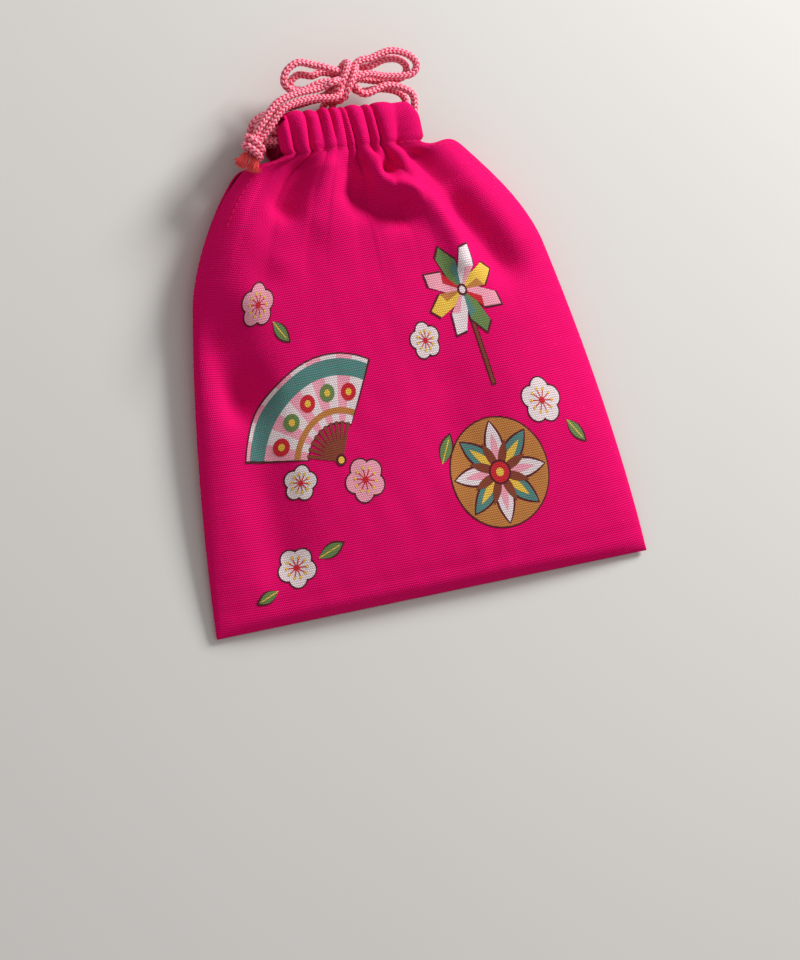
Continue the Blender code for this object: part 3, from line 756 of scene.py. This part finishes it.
# Folds: height, width and the line that each follows, by shares of the half width and of the way up
frontFolds = (
    (0.0062, 0.015, ((-0.86, 0.84), (-0.82, 0.74))),
    (-0.0082, 0.011, ((-0.9, 0.62), (-0.79, 0.5))),
    (-0.0044, 0.0125, ((-0.79, 0.5), (-0.73, 0.3), (-0.7, 0.16))),
    (-0.0062, 0.0056, ((-0.66, 1.0), (-0.62, 0.974), (-0.57, 0.933), (-0.59, 0.88))),
    (0.0028, 0.007, ((-0.48, 0.99), (-0.43, 0.928), (-0.46, 0.857), (-0.56, 0.777))),
    (0.0034, 0.011, ((-0.24, 0.985), (-0.28, 0.92), (-0.32, 0.85))),
    (-0.0058, 0.007, ((0.02, 0.985), (-0.08, 0.945), (-0.08, 0.905), (0.02, 0.872), (0.2, 0.835))),
    (0.0054, 0.0046, ((0.24, 0.975), (0.13, 0.948), (0.14, 0.925), (0.24, 0.905), (0.33, 0.878))),
    (0.0038, 0.0055, ((0.33, 0.878), (0.42, 0.843), (0.46, 0.803), (0.48, 0.755), (0.47, 0.7))),
    (-0.005, 0.0038, ((0.38, 1.0), (0.34, 0.97), (0.28, 0.94))),
    (0.0028, 0.0065, ((0.54, 0.99), (0.48, 0.95), (0.5, 0.905), (0.56, 0.86))),
    (-0.006, 0.0075, ((0.68, 0.96), (0.6, 0.9), (0.58, 0.85), (0.6, 0.8), (0.66, 0.74), (0.72, 0.67))),
    (0.0034, 0.01, ((0.86, 0.95), (0.8, 0.9), (0.8, 0.83), (0.82, 0.74))),
    (0.0022, 0.02, ((0.62, 0.55), (0.66, 0.34))),
    (-0.0014, 0.012, ((0.24, 0.43), (0.2, 0.29))),
)
backFolds = ((0.0065, 0.01, ((0.0, 0.95), (0.0, 0.909))),)


def smoothThrough(points, at):
    places, values = np.array(points, dtype=float).T
    slopes = np.gradient(values, places)
    at = np.clip(np.asarray(at, dtype=float), places[0], places[-1])
    k = np.clip(np.searchsorted(places, at) - 1, 0, len(places) - 2)
    span = places[k + 1] - places[k]
    return hermite((at - places[k]) / span, values[k], values[k + 1], span * slopes[k], span * slopes[k + 1])


def halfWidth(y):
    straight = pouch["width"] / 2 - halfCloth - pouch["sideTaper"] * y - pouch["sideBow"] * y ** 2
    shoulder = pouch["shoulderLength"]
    drawn = straight - pouch["shoulderPull"] * np.clip((y - (stitchY - shoulder)) / shoulder, 0, 1) ** 2.0
    return drawn + (pouch["casingWidth"] / 2 - drawn) * ease((y - stitchY + 0.001) / 0.003)


def earLift(across, y):
    # The corners of the shoulders stand up beside the casing
    rise = ease((y - stitchY + 0.052) / 0.046) * (1 - ease((y - stitchY) / 0.014 + 1))
    return (pouch["earLift"] + pouch["leftEarLift"] * (across < 0)) * rise * np.abs(across) ** 3


def onPlan(across, y):
    # Where a point of the cloth lies, seen from above, in the frame's own measure
    x = across * halfWidth(y)
    up = halfCloth + (y + earLift(across, y) - mouthDrop(x, y)) * (1 - halfCloth / topY)
    return x, up - topLine / 2


def gatherValleys():
    edges = np.concatenate(([0.0], np.cumsum(gather["shares"])))
    return 2 * edges / edges[-1] - 1


valleys = gatherValleys()


def gatherAt(across):
    return np.clip(np.searchsorted(valleys, across, side="right") - 1, 0, len(valleys) - 2)


def gathers(across):
    k = gatherAt(across)
    place = (across - valleys[k]) / (valleys[k + 1] - valleys[k])
    return np.array(gather["heights"])[k] * np.sin(math.pi * np.clip(place, 0, 1)) ** 0.8


def frontGathers(across, y):
    # The valleys lean and waver on their way up the casing, and each is deeper at one end than at the other
    up = np.clip((y - stitchY) / pouch["casingHeight"], -0.6, 1)
    waver = (0.034 * np.sin(5.3 * across + 0.8) + 0.016 * np.sin(16 * across + 2.0)) * (1 - across ** 4)
    across = np.clip(across + waver * up, -1, 1)
    k = gatherAt(across)
    place = np.clip((across - valleys[k]) / (valleys[k + 1] - valleys[k]), 0, 1) ** np.array(gather["leans"])[k]
    floors = np.array(gather["lows"])[:, None] * (1 - ease(up)) + np.array(gather["tops"])[:, None] * ease(up)
    column = np.arange(len(across)) if floors.shape[1] > 1 else 0
    floor = floors[k, column] * (1 - place) + floors[k + 1, column] * place
    ridge = np.array(gather["heights"])[k]
    return floor + (ridge - floor) * np.sin(math.pi * place) ** 0.66


def gatherStrength(y, reach=gather["reach"]):
    below = np.clip((stitchY - y) / reach, 0, None)
    return np.where(y >= stitchY, 1.0, np.exp(-(below ** 1.3)) * (1 - 0.25 * ease(below * 4)))


def foldHeights(folds, across, x, y):
    total = np.zeros_like(x)
    for height, width, line in folds:
        nearest = np.full_like(x, np.inf)
        ends = [(share * halfWidth(up * stitchY), up * stitchY) for share, up in line]
        for (ax, ay), (bx, by) in zip(ends[:-1], ends[1:]):
            along = ((x - ax) * (bx - ax) + (y - ay) * (by - ay)) / ((bx - ax) ** 2 + (by - ay) ** 2)
            along = np.clip(along, 0, 1)
            nearest = np.minimum(nearest, np.hypot(x - ax - along * (bx - ax), y - ay - along * (by - ay)))
        total += height * np.exp(-(nearest / width) ** 2)
    return total * (1 - np.abs(across) ** 6)


def sideHeight(y, level, power=1.0):
    side = smoothThrough(seamLift, y / stitchY)
    return side + (level - side) * ease((y - slitY) / (stitchY - slitY)) ** power


def frontGround(across, y):
    crown = smoothThrough(frontCrown, y / stitchY)
    side = sideHeight(y, frontValleyZ, 1.6)
    bulge = (1 - np.clip(np.abs(across), 0, 1) ** 2.4) ** 0.42
    folds = foldHeights(frontFolds, across, across * halfWidth(y), y)
    return side + (crown - side) * bulge + folds * (1 - ease((y - stitchY) / 0.008 + 1))


def frontHeight(across, y):
    reach = gather["reach"] * np.array(gather["reaches"])[gatherAt(across)]
    up = np.clip((y - stitchY) / pouch["casingHeight"], 0, 1)
    ridges = frontGathers(across, y) * gatherStrength(y, reach)
    bulge = gather["bulge"] * np.sin(math.pi * up) * (0.4 + 0.6 * ridges)  # where the cord fills the casing
    return frontGround(across, y) + gatherDepth * ridges + bulge


def backHollow(across, y):
    hollow = foldHeights(backFolds, across, across * halfWidth(y), y)
    return hollow * (1 - ease((y - stitchY) / 0.008))


def backHeight(across, y):
    side = sideHeight(y, backValleyZ)
    reach = np.clip((np.abs(across) - 0.8) / 0.2, 0, 1)
    height = backRidgeZ + (side - backRidgeZ) * reach ** 4
    pushed = (1 - gathers(across)) * gatherStrength(y)
    tailRoom = 1 - ease((np.abs(across * halfWidth(y)) - 0.0095) / 0.004)
    pushed = np.maximum(pushed, tailRoom * ease((y - stitchY + 0.0345) / 0.012))
    height = np.maximum(height, backRidgeZ + gatherDepth * pushed * (1 - reach))
    return height + backHollow(across, y)


def hemHeight(isFront, across, y):
    if isFront:
        level = frontHemZ
        sewn = frontGround(across, y) - sewnStep + stitchDimple(y)
    else:
        level = backHemZ
        sewn = backValleyZ + backHollow(across, y) + sewnStep
    start = lowCordY - cordRoom
    return level + (sewn - level) * ease((start - y) / (start - stitchY))


crease = {
    "height": 0.00075,
    "pucker": 0.0003,
    "puckerStep": 0.0065,
    "puckerReach": 0.006,
    "stitchSink": 0.0007,
    "stitchSinkWidth": 0.0013,
}


def wrinkles(across, x, y):
    # Small soft creases of handled canvas, stronger near the casing and the seams
    flat = np.empty_like(x)
    for index in np.ndindex(x.shape):
        px, py = x[index], y[index]
        broad = noise.noise(Vector((px * 42 + 3.1, py * 30 + 7.7, 0.4)))
        fine = noise.noise(Vector((px * 120 + py * 40 + 1.3, py * 60 - px * 40, 5.1)))
        flat[index] = broad * 0.75 + fine * 0.38
    nearSeam = np.exp(-((1 - np.abs(across)) * 0.08 / crease["puckerReach"]))
    pucker = np.sin(y * 2 * math.pi / crease["puckerStep"] + 2.2 * np.sin(y * 90)) * nearSeam * (y < slitY)
    fade = (1 - np.abs(across) ** 8) * np.clip(y / 0.006, 0, 1) * (1 - 0.65 * ease((y - stitchY) / 0.008 + 1))
    return (crease["height"] * flat + crease["pucker"] * pucker) * fade


def stitchDimple(y):
    return -crease["stitchSink"] * np.exp(-((y - stitchY) / crease["stitchSinkWidth"]) ** 2)


def frontSurface(across, y):
    x = across * halfWidth(y)
    z = frontHeight(across, y) + wrinkles(across, x, y) + stitchDimple(y)
    return x, z


cloth = {
    "columnsPerGather": 11,
    "sideColumns": (0.955, 0.97, 0.982, 0.99, 0.996),
    "panelRows": 118,
    "casingRows": 14,
    "rollRows": 7,
}


def clothColumns():
    steps = np.arange(cloth["columnsPerGather"]) / cloth["columnsPerGather"]
    columns = [left + (right - left) * steps for left, right in zip(valleys[:-1], valleys[1:])]
    edges = np.array(cloth["sideColumns"])
    columns = np.concatenate(columns + [edges, -edges, [1.0]])
    columns = np.sort(columns)
    keep = np.concatenate(([True], np.diff(columns) > 0.0015))
    keep[-1] = True
    return columns[keep]


def clothRows(isFront, columns):
    rows = []

    def add(y, z):
        x, place = onPlan(columns, y)
        if isFront:
            nearTop = ease((y - foldY + 0.006) / 0.008)
            rounding = gather["cornerDrop"] * ease((np.abs(columns) - 0.84) / 0.16)
            place = place + (gather["scallop"] * (frontGathers(columns, y) - 0.55) - rounding) * nearTop
        rows.append(np.stack([x, place, z], axis=1))

    start = np.array([0.0, 0.0004, 0.001, 0.0018, 0.0028, 0.004, 0.0056, 0.0075])
    panel = np.concatenate((start, np.linspace(0.0094, stitchY, cloth["panelRows"])))
    casing = stitchY + (foldY - stitchY) * np.linspace(0, 1, cloth["casingRows"] + 1)[1:]
    for y in np.concatenate((panel, casing)):
        level = np.full_like(columns, y)
        if isFront:
            add(y, frontSurface(columns, level)[1])
        else:
            add(y, backHeight(columns, level))
    outer = rows[-1][:, 2]
    hemFlat = frontHemZ if isFront else backHemZ
    for turn in np.linspace(0, math.pi, cloth["rollRows"] + 2)[1:-1]:
        share = (1 - math.cos(turn)) / 2
        add(foldY + math.sin(turn) ** 0.8 * (topY - foldY), outer + (hemFlat - outer) * share)
    for y in np.linspace(foldY, stitchY - pouch["hemAllowance"], 14):
        add(y, hemHeight(isFront, columns, np.full_like(columns, y)))
    return rows, panel, len(panel) + len(casing)


def makePouch():
    columns = clothColumns()
    mesh = bmesh.new()
    uvLayer = mesh.loops.layers.uv.new("clothMap")
    sheets = []
    for isFront in (False, True):
        rows, panel, outerCount = clothRows(isFront, columns)
        slitRow = max(k for k, y in enumerate(panel) if y <= slitY + 1e-6)
        stacked = np.array(rows)
        acrossRun = np.zeros(stacked.shape[:2])
        acrossRun[:, 1:] = np.cumsum(np.linalg.norm(np.diff(stacked, axis=1), axis=2), axis=1)
        middle = len(columns) // 2
        acrossRun -= acrossRun[:, middle:middle + 1]
        upRun = np.zeros(stacked.shape[:2])
        upRun[1:] = np.cumsum(np.linalg.norm(np.diff(stacked, axis=0), axis=2), axis=0)
        sign = 1 if isFront else -1
        grid = []
        for r, row in enumerate(rows):
            line = []
            for c, point in enumerate(row):
                atSeam = c in (0, len(columns) - 1) and r <= slitRow
                if isFront and (r == 0 or atSeam):
                    line.append(sheets[0][r][c])
                else:
                    line.append(mesh.verts.new(tuple(point)))
            grid.append(line)
        sheets.append(grid)
        inset = 1 - pouch["mouthInset"] / (pouch["casingWidth"] / 2)
        for r in range(len(rows) - 1):
            for c in range(len(columns) - 1):
                if r >= outerCount and abs(columns[c] + columns[c + 1]) / 2 > inset:
                    continue
                spots = [(r, c), (r, c + 1), (r + 1, c + 1), (r + 1, c)]
                if not isFront:
                    spots = spots[::-1]
                face = mesh.faces.new([grid[i][j] for i, j in spots])
                face.smooth = True
                for loop, (i, j) in zip(face.loops, spots):
                    loop[uvLayer].uv = (acrossRun[i, j], sign * upRun[i, j])
    loose = [v for v in mesh.verts if not v.link_faces]
    bmesh.ops.delete(mesh, geom=loose, context="VERTS")
    data = bpy.data.meshes.new("pouchCloth")
    mesh.to_mesh(data)
    mesh.free()
    data.materials.append(canvasMaterial)
    made = newObject("pouchCloth", data)
    thicken = made.modifiers.new("thickness", "SOLIDIFY")
    thicken.thickness = pouch["cloth"]
    thicken.offset = 0.0
    thicken.use_even_offset = False
    thicken.thickness_clamp = 0.0
    applyModifiers(made)
    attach(made, "root")
    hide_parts("pouch_body")
    return made


def applyModifiers(made):
    bpy.ops.object.select_all(action="DESELECT")
    made.select_set(True)
    bpy.context.view_layer.objects.active = made
    for modifier in list(made.modifiers):
        bpy.ops.object.modifier_apply(modifier=modifier.name)
    made.select_set(False)


pouchCloth = makePouch()
clothTree = BVHTree.FromPolygons(
    [v.co for v in pouchCloth.data.vertices], [tuple(p.vertices) for p in pouchCloth.data.polygons]
)
print("pouch cloth made:", len(pouchCloth.data.polygons), "faces")


# Print: traditional toys and blossoms as fields of flat colour, on a map of the flat panel in millimetres
inks = {
    "black": (0.012, 0.004, 0.006),
    "white": (0.8, 0.74, 0.76),
    "ochre": (0.48, 0.215, 0.04),
    "brown": (0.165, 0.05, 0.014),
    "teal": (0.0, 0.25, 0.22),
    "yellow": (0.82, 0.56, 0.06),
    "green": (0.06, 0.255, 0.07),
    "rose": (0.86, 0.38, 0.48),
    "red": (0.58, 0.012, 0.02),
}
printSheet = {
    "cell": 0.8,
    "lift": 0.0001,
    "step": 0.000042,
    "outline": 0.7,
    "cutShift": 0.013,
    # Ink worn thin in the gaps between the threads, and painted shade there
    "wornAndPoreShade": 0.35,
    "roughness": 0.82,
    "specular": 0.25,
    "sheen": 0.06,
    "sheenTint": (1.0, 0.8, 0.85),
}


def disc(cx, cy, radius, count=28):
    angles = np.linspace(0, 2 * math.pi, count, endpoint=False)
    return [(cx + radius * math.cos(a), cy + radius * math.sin(a)) for a in angles]


def lens(cx, cy, angle, length, width, count=12):
    # A leaf shape from (cx, cy) outwards
    points = []
    for side in (1, -1):
        for f in np.linspace(0, 1, count)[:-1]:
            f = f if side > 0 else 1 - f
            points.append((length * f, side * width / 2 * math.sin(math.pi * f) ** 0.9))
    return turned(points, cx, cy, angle)


def turned(points, cx, cy, angle):
    c, s = math.cos(math.radians(angle)), math.sin(math.radians(angle))
    return [(cx + x * c - y * s, cy + x * s + y * c) for x, y in points]


def sector(cx, cy, inner, outer, start, end, count=8):
    angles = np.radians(np.linspace(start, end, count))
    rim = [(cx + outer * math.cos(a), cy + outer * math.sin(a)) for a in angles]
    back = [(cx + inner * math.cos(a), cy + inner * math.sin(a)) for a in angles[::-1]]
    return rim + back


def bar(cx, cy, angle, length, width):
    return turned([(0, -width / 2), (length, -width / 2), (length, width / 2), (0, width / 2)], cx, cy, angle)


def away(cx, cy, angle, reach):
    return cx + reach * math.cos(math.radians(angle)), cy + reach * math.sin(math.radians(angle))


def blossom(cx, cy, size, turn, petal, heart):
    petals = [away(cx, cy, turn + 72 * k, 0.56 * size) for k in range(5)]
    for place in petals:
        yield disc(*place, 0.47 * size + printSheet["outline"]), "black", 0
    for k, place in enumerate(petals):
        yield disc(*place, 0.47 * size), petal, 1 + 0.15 * k
    yield disc(cx, cy, 0.42 * size), petal, 2
    for angle in range(18, 378, 36):
        yield bar(cx, cy, turn + angle, 0.52 * size, 0.5), heart, 3
        yield disc(*away(cx, cy, turn + angle, 0.55 * size), 0.7, 8), "yellow", 4
    yield disc(cx, cy, 0.16 * size, 14), heart, 4


def temari(cx, cy, radius):
    yield disc(cx, cy, radius + printSheet["outline"], 48), "black", 0
    yield disc(cx, cy, radius, 48), "ochre", 1
    for k in range(8):
        for turn, length, width, ink, layer in (
            (0, 0.97, 0.4, "black", 2), (0, 0.93, 0.32, ("white", "teal")[k % 2], 3),
            (0, 0.72, 0.15, ("rose", "yellow")[k % 2], 4), (22.5, 0.62, 0.17, "brown", 4.4 + 0.06 * k),
        ):
            yield lens(cx, cy, 45 * k + turn, radius * length, radius * width), ink, layer
    for size, ink, layer in ((0.23, "black", 5), (0.19, "red", 6), (0.08, "yellow", 7)):
        yield disc(cx, cy, radius * size), ink, layer


def fan(cx, cy, radius, start, span):
    edge = printSheet["outline"]
    ends = start - 1.6, start + span + 1.6
    yield sector(cx, cy, radius * 0.36 - edge, radius + edge, *ends, 28), "black", 0
    for k in range(10):
        low, high = start + span * k / 10, start + span * (k + 1) / 10
        for inner, outer, ink, layer in (
            (0.36, 1.0, ("white", "rose")[k % 2], 1), (0.8, 0.96, "teal", 2), (0.44, 0.5, "ochre", 2),
        ):
            yield sector(cx, cy, radius * inner, radius * outer, low, high, 5), ink, layer
        yield bar(cx, cy, (low + high) / 2, radius * 0.37, 1.5), "brown", 1 + 0.1 * k
    for k in range(5):
        place = away(cx, cy, start + span * (k + 0.5) / 5, radius * 0.65)
        yield disc(*place, radius * 0.085, 16), ("red", "green")[k % 2], 3
        yield disc(*place, radius * 0.035, 10), "yellow", 4
    yield disc(cx, cy, 2.6, 16), "black", 3
    yield disc(cx, cy, 1.5, 12), "yellow", 4


def pinwheel(cx, cy, radius, turn):
    yield bar(cx, cy, turn - 96, radius * 2.1, 2.6), "black", 0
    yield bar(cx, cy, turn - 96, radius * 2.06, 1.5), "brown", 1
    blade, fold = (
        [(x * radius, y * radius) for x, y in points]
        for points in (
            ((0, 0), (0.62, -0.1), (1, 0.16), (0.8, 0.36), (0.34, 0.25)),
            ((0, 0), (0.62, -0.1), (0.5, 0.1)),
        )
    )
    outer = [(x * 1.05 + 0.2, y * 1.1 - 0.3) for x, y in blade]
    for k in range(8):
        yield turned(outer, cx, cy, turn + 45 * k), "black", 2
        yield turned(blade, cx, cy, turn + 45 * k), ("yellow", "white", "green", "rose")[k % 4], 3
        yield turned(fold, cx, cy, turn + 45 * k), ("ochre", "rose", "teal", "red")[k % 4], 4
    yield disc(cx, cy, radius * 0.13, 16), "black", 5
    yield disc(cx, cy, radius * 0.08, 12), "white", 6


def leaf(cx, cy, angle, length):
    yield lens(cx, cy, angle, length + 1.2, length * 0.44 + 1.2), "black", 0
    yield lens(cx, cy, angle, length, length * 0.42), "green", 1
    yield bar(cx, cy, angle, length * 0.85, 0.5), "yellow", 2


def cutIntoCells(shapes):
    # The flat shapes of one motif, cut on a grid so that they can follow the cloth; z holds the layer
    mesh = bmesh.new()
    inkLayer = mesh.faces.layers.int.new("ink")
    names = list(inks)
    for points, ink, layer in shapes:
        face = mesh.faces.new([mesh.verts.new((x, y, layer)) for x, y in points])
        face[inkLayer] = names.index(ink)
        face.normal_update()
        if face.normal.z < 0:
            face.normal_flip()
    cell = printSheet["cell"]
    for axis, direction in enumerate(((1, 0, 0), (0, 1, 0))):
        places = [v.co[axis] for v in mesh.verts]
        for step in range(math.ceil(min(places) / cell), math.floor(max(places) / cell) + 1):
            at = Vector(direction) * (step * cell + printSheet["cutShift"])
            near = [
                f for f in mesh.faces
                if min(v.co[axis] for v in f.verts) < at[axis] < max(v.co[axis] for v in f.verts)
            ]
            parts = set(near).union(*(f.edges for f in near), *(f.verts for f in near))
            bmesh.ops.bisect_plane(mesh, geom=list(parts), plane_co=at, plane_no=direction, dist=1e-5)
    bmesh.ops.triangulate(mesh, faces=mesh.faces[:])
    return mesh, inkLayer


def makePrintMaterial():
    material, tree, shader = startMaterial(
        "printedInk", *(printSheet[part] for part in ("roughness", "specular", "sheen", "sheenTint"))
    )
    weave = placeWeave(tree)
    calc = mathFor(tree)
    ink = tree.nodes.new("ShaderNodeAttribute")
    ink.attribute_name = "inkColour"
    colour = shaded(tree, ink.outputs["Color"], calc("MULTIPLY_ADD", weave["Shade"], 0.5, 0.76))
    # Ink worn thin in the gaps between the threads, and painted shade there: the ink mixed towards the shade pink
    wornAndPoreShade = calc("MULTIPLY", weave["Pore"], printSheet["wornAndPoreShade"], clamp=True)
    link(tree, mixColour(tree, wornAndPoreShade, colour, canvas["poreShadePink"]), shader.inputs["Base Color"])
    addBump(tree, shader, weave["Height"], canvas["relief"], canvas["bump"])
    return material


# Each motif's place, size and turn on the front panel, in millimetres and degrees, in groups that are cut together
printLayout = (
    (
        (temari, 38, 44, 23), (blossom, 66, 70, 9.5, 12, "white", "red"), (leaf, 76, 60, -55, 12),
        (leaf, 12, 52, 60, 13),
    ),
    (
        (fan, -36, 62, 44, 62, 108), (blossom, -26, 52, 9.0, 40, "rose", "red"),
        (blossom, -56, 56, 7.0, 5, "white", "red"),
    ),
    ((pinwheel, 42, 122, 20, 10), (blossom, 16, 104, 7.5, 25, "white", "red")),
    ((blossom, -70, 132, 8.5, 15, "rose", "red"), (leaf, -62, 124, -50, 12)),
    (
        (blossom, -62, 22, 8.0, 50, "white", "red"), (leaf, -52, 24, 20, 12), (leaf, -72, 14, 200, 10),
    ),
)


def makePrint():
    points, faces, colours, uvs = [], [], [], []
    names = list(inks)
    for group in printLayout:
        mesh, inkLayer = cutIntoCells(shape for draw, *place in group for shape in draw(*place))
        mesh.verts.index_update()
        base = len(points)
        flat = np.array([v.co[:] for v in mesh.verts])
        across = flat[:, 0] / 100.0
        y = flat[:, 1] / 1000.0
        x, place = onPlan(across, y)
        for k in range(len(flat)):
            hit, normal, _, _ = clothTree.ray_cast(Vector((x[k], place[k], 0.1)), Vector((0, 0, -1)))
            if normal.z < 0:
                normal = -normal
            points.append(hit + normal * (printSheet["lift"] + printSheet["step"] * flat[k, 2]))
        for face in mesh.faces:
            faces.append(tuple(base + v.index for v in face.verts))
            for v in face.verts:
                colours.append((*inks[names[face[inkLayer]]], 1.0))
                uvs.append((x[v.index], y[v.index]))
        mesh.free()
    data = meshFrom("printedMotifs", points, faces, uvs)
    colour = data.color_attributes.new(name="inkColour", type="FLOAT_COLOR", domain="CORNER")
    colour.data.foreach_set("color", np.asarray(colours, dtype=np.float32).ravel())
    data.materials.append(makePrintMaterial())
    made = newObject("printedMotifs", data)
    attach(made, "root")
    return made


printedMotifs = makePrint()
print("print made:", len(printedMotifs.data.polygons), "faces")


# Stitches
stitching = {
    "thread": (0.62, 0.003, 0.08),
    "threadLight": (0.78, 0.006, 0.12),
    "length": 0.0024,
    "gap": 0.0007,
    "width": 0.00042,
    "roughness": 0.7,
    "specular": 0.15,
    "casingEnds": 0.985,
    "slitSide": 0.935,
}


def makeThreadMaterial():
    material, tree, shader = startMaterial("sewingThread", stitching["roughness"], stitching["specular"])
    place = tree.nodes.new("ShaderNodeTexCoord").outputs["Object"]
    twist = noiseNode(tree, place, 2600.0, 1.0)
    link(tree, mixColour(tree, twist, stitching["thread"], stitching["threadLight"]), shader.inputs["Base Color"])
    return material


def stitchRun(line):
    # Places of the stitches on a line of surface points, with the heading at each
    line = np.array(line)
    reached = runLengths(line)
    step = stitching["length"] + stitching["gap"]
    places = []
    for start in np.arange(int(reached[-1] / step)) * step + stitching["gap"] / 2:
        at = (start, start + stitching["length"])
        places.append(np.stack([np.interp(at, reached, line[:, axis]) for axis in range(3)], axis=1))
    return places


def makeStitches():
    bpy.ops.object.select_all(action="DESELECT")
    bpy.ops.mesh.primitive_uv_sphere_add(segments=8, ring_count=6, radius=0.5)
    pattern = bpy.context.object
    form = np.array([v.co[:] for v in pattern.data.vertices])
    shape = [tuple(p.vertices) for p in pattern.data.polygons]
    bpy.data.objects.remove(pattern, do_unlink=True)
    run = np.linspace(-stitching["casingEnds"], stitching["casingEnds"], 220)
    level = np.full_like(run, stitchY)
    x, place = onPlan(run, level)
    lines = [
        np.stack((x, place, frontSurface(run, level)[1] + halfCloth), axis=1),
        np.stack((x, place, backHeight(run, level) - halfCloth), axis=1),
    ]
    up = np.linspace(slitY + 0.002, stitchY - 0.003, 60)
    for side in (-1, 1):
        across = np.full_like(up, side * stitching["slitSide"])
        lines.append(np.stack((*onPlan(across, up), frontSurface(across, up)[1] + halfCloth), axis=1))
    points, faces = [], []
    for line in lines:
        laid = []
        for point in line:
            hit, normal, _, _ = clothTree.find_nearest(Vector(point))
            laid.append(hit + normal * stitching["width"] * 0.2)
        for start, end in stitchRun(laid):
            heading = (end - start) / np.linalg.norm(end - start)
            side, lift = sideways(heading)
            middle = (start + end) / 2
            base = len(points)
            for v in form:
                points.append(
                    middle + heading * v[2] * stitching["length"] + side * v[0] * stitching["width"]
                    + lift * v[1] * stitching["width"] * 0.8
                )
            faces += [tuple(base + k for k in face) for face in shape]
    data = meshFrom("stitches", points, faces)
    data.materials.append(makeThreadMaterial())
    made = newObject("stitches", data)
    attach(made, "root")
    return made


stitches = makeStitches()
print("stitches made")


# Floor, lights and world
studio = {
    "floor": (0.62, 0.605, 0.58),
    "floorSpeck": (0.66, 0.645, 0.62),
    "roughness": 0.9,
    "specular": 0.1,
    "size": 6.0,
    "aim": (0, 0, 0.01),
    "world": 0.4,
    "worldColour": (1.0, 0.985, 0.97, 1.0),
    "lights": (
        ("keyLight", (1.0, 0.7, 0.62), 0.45, 26.0),
        ("fillLight", (-0.9, -0.5, 1.0), 1.2, 1.0),
    ),
}


def makeStudio():
    bpy.ops.object.select_all(action="DESELECT")
    bpy.ops.mesh.primitive_plane_add(size=studio["size"], location=(0, 0, 0))
    floor = bpy.context.object
    floor.name = "studioFloor"
    material, tree, shader = startMaterial("studioFloor", studio["roughness"], studio["specular"])
    place = tree.nodes.new("ShaderNodeTexCoord").outputs["Object"]
    soft = noiseNode(tree, place, 3.0, 2.0)
    link(tree, mixColour(tree, soft, studio["floor"], studio["floorSpeck"]), shader.inputs["Base Color"])
    floor.data.materials.append(material)
    world = bpy.data.worlds.new("studioWorld")
    world.use_nodes = True
    world.node_tree.nodes["Background"].inputs[0].default_value = studio["worldColour"]
    world.node_tree.nodes["Background"].inputs[1].default_value = studio["world"]
    bpy.context.scene.world = world
    for name, place, size, power in studio["lights"]:
        data = bpy.data.lights.new(name, "AREA")
        data.size = size
        data.energy = power
        lamp = newObject(name, data)
        lamp.location = place
        lamp.rotation_euler = (Vector(place) - Vector(studio["aim"])).to_track_quat("Z", "Y").to_euler()
    bpy.context.scene.view_settings.view_transform = "Standard"


makeStudio()
print("studio made")
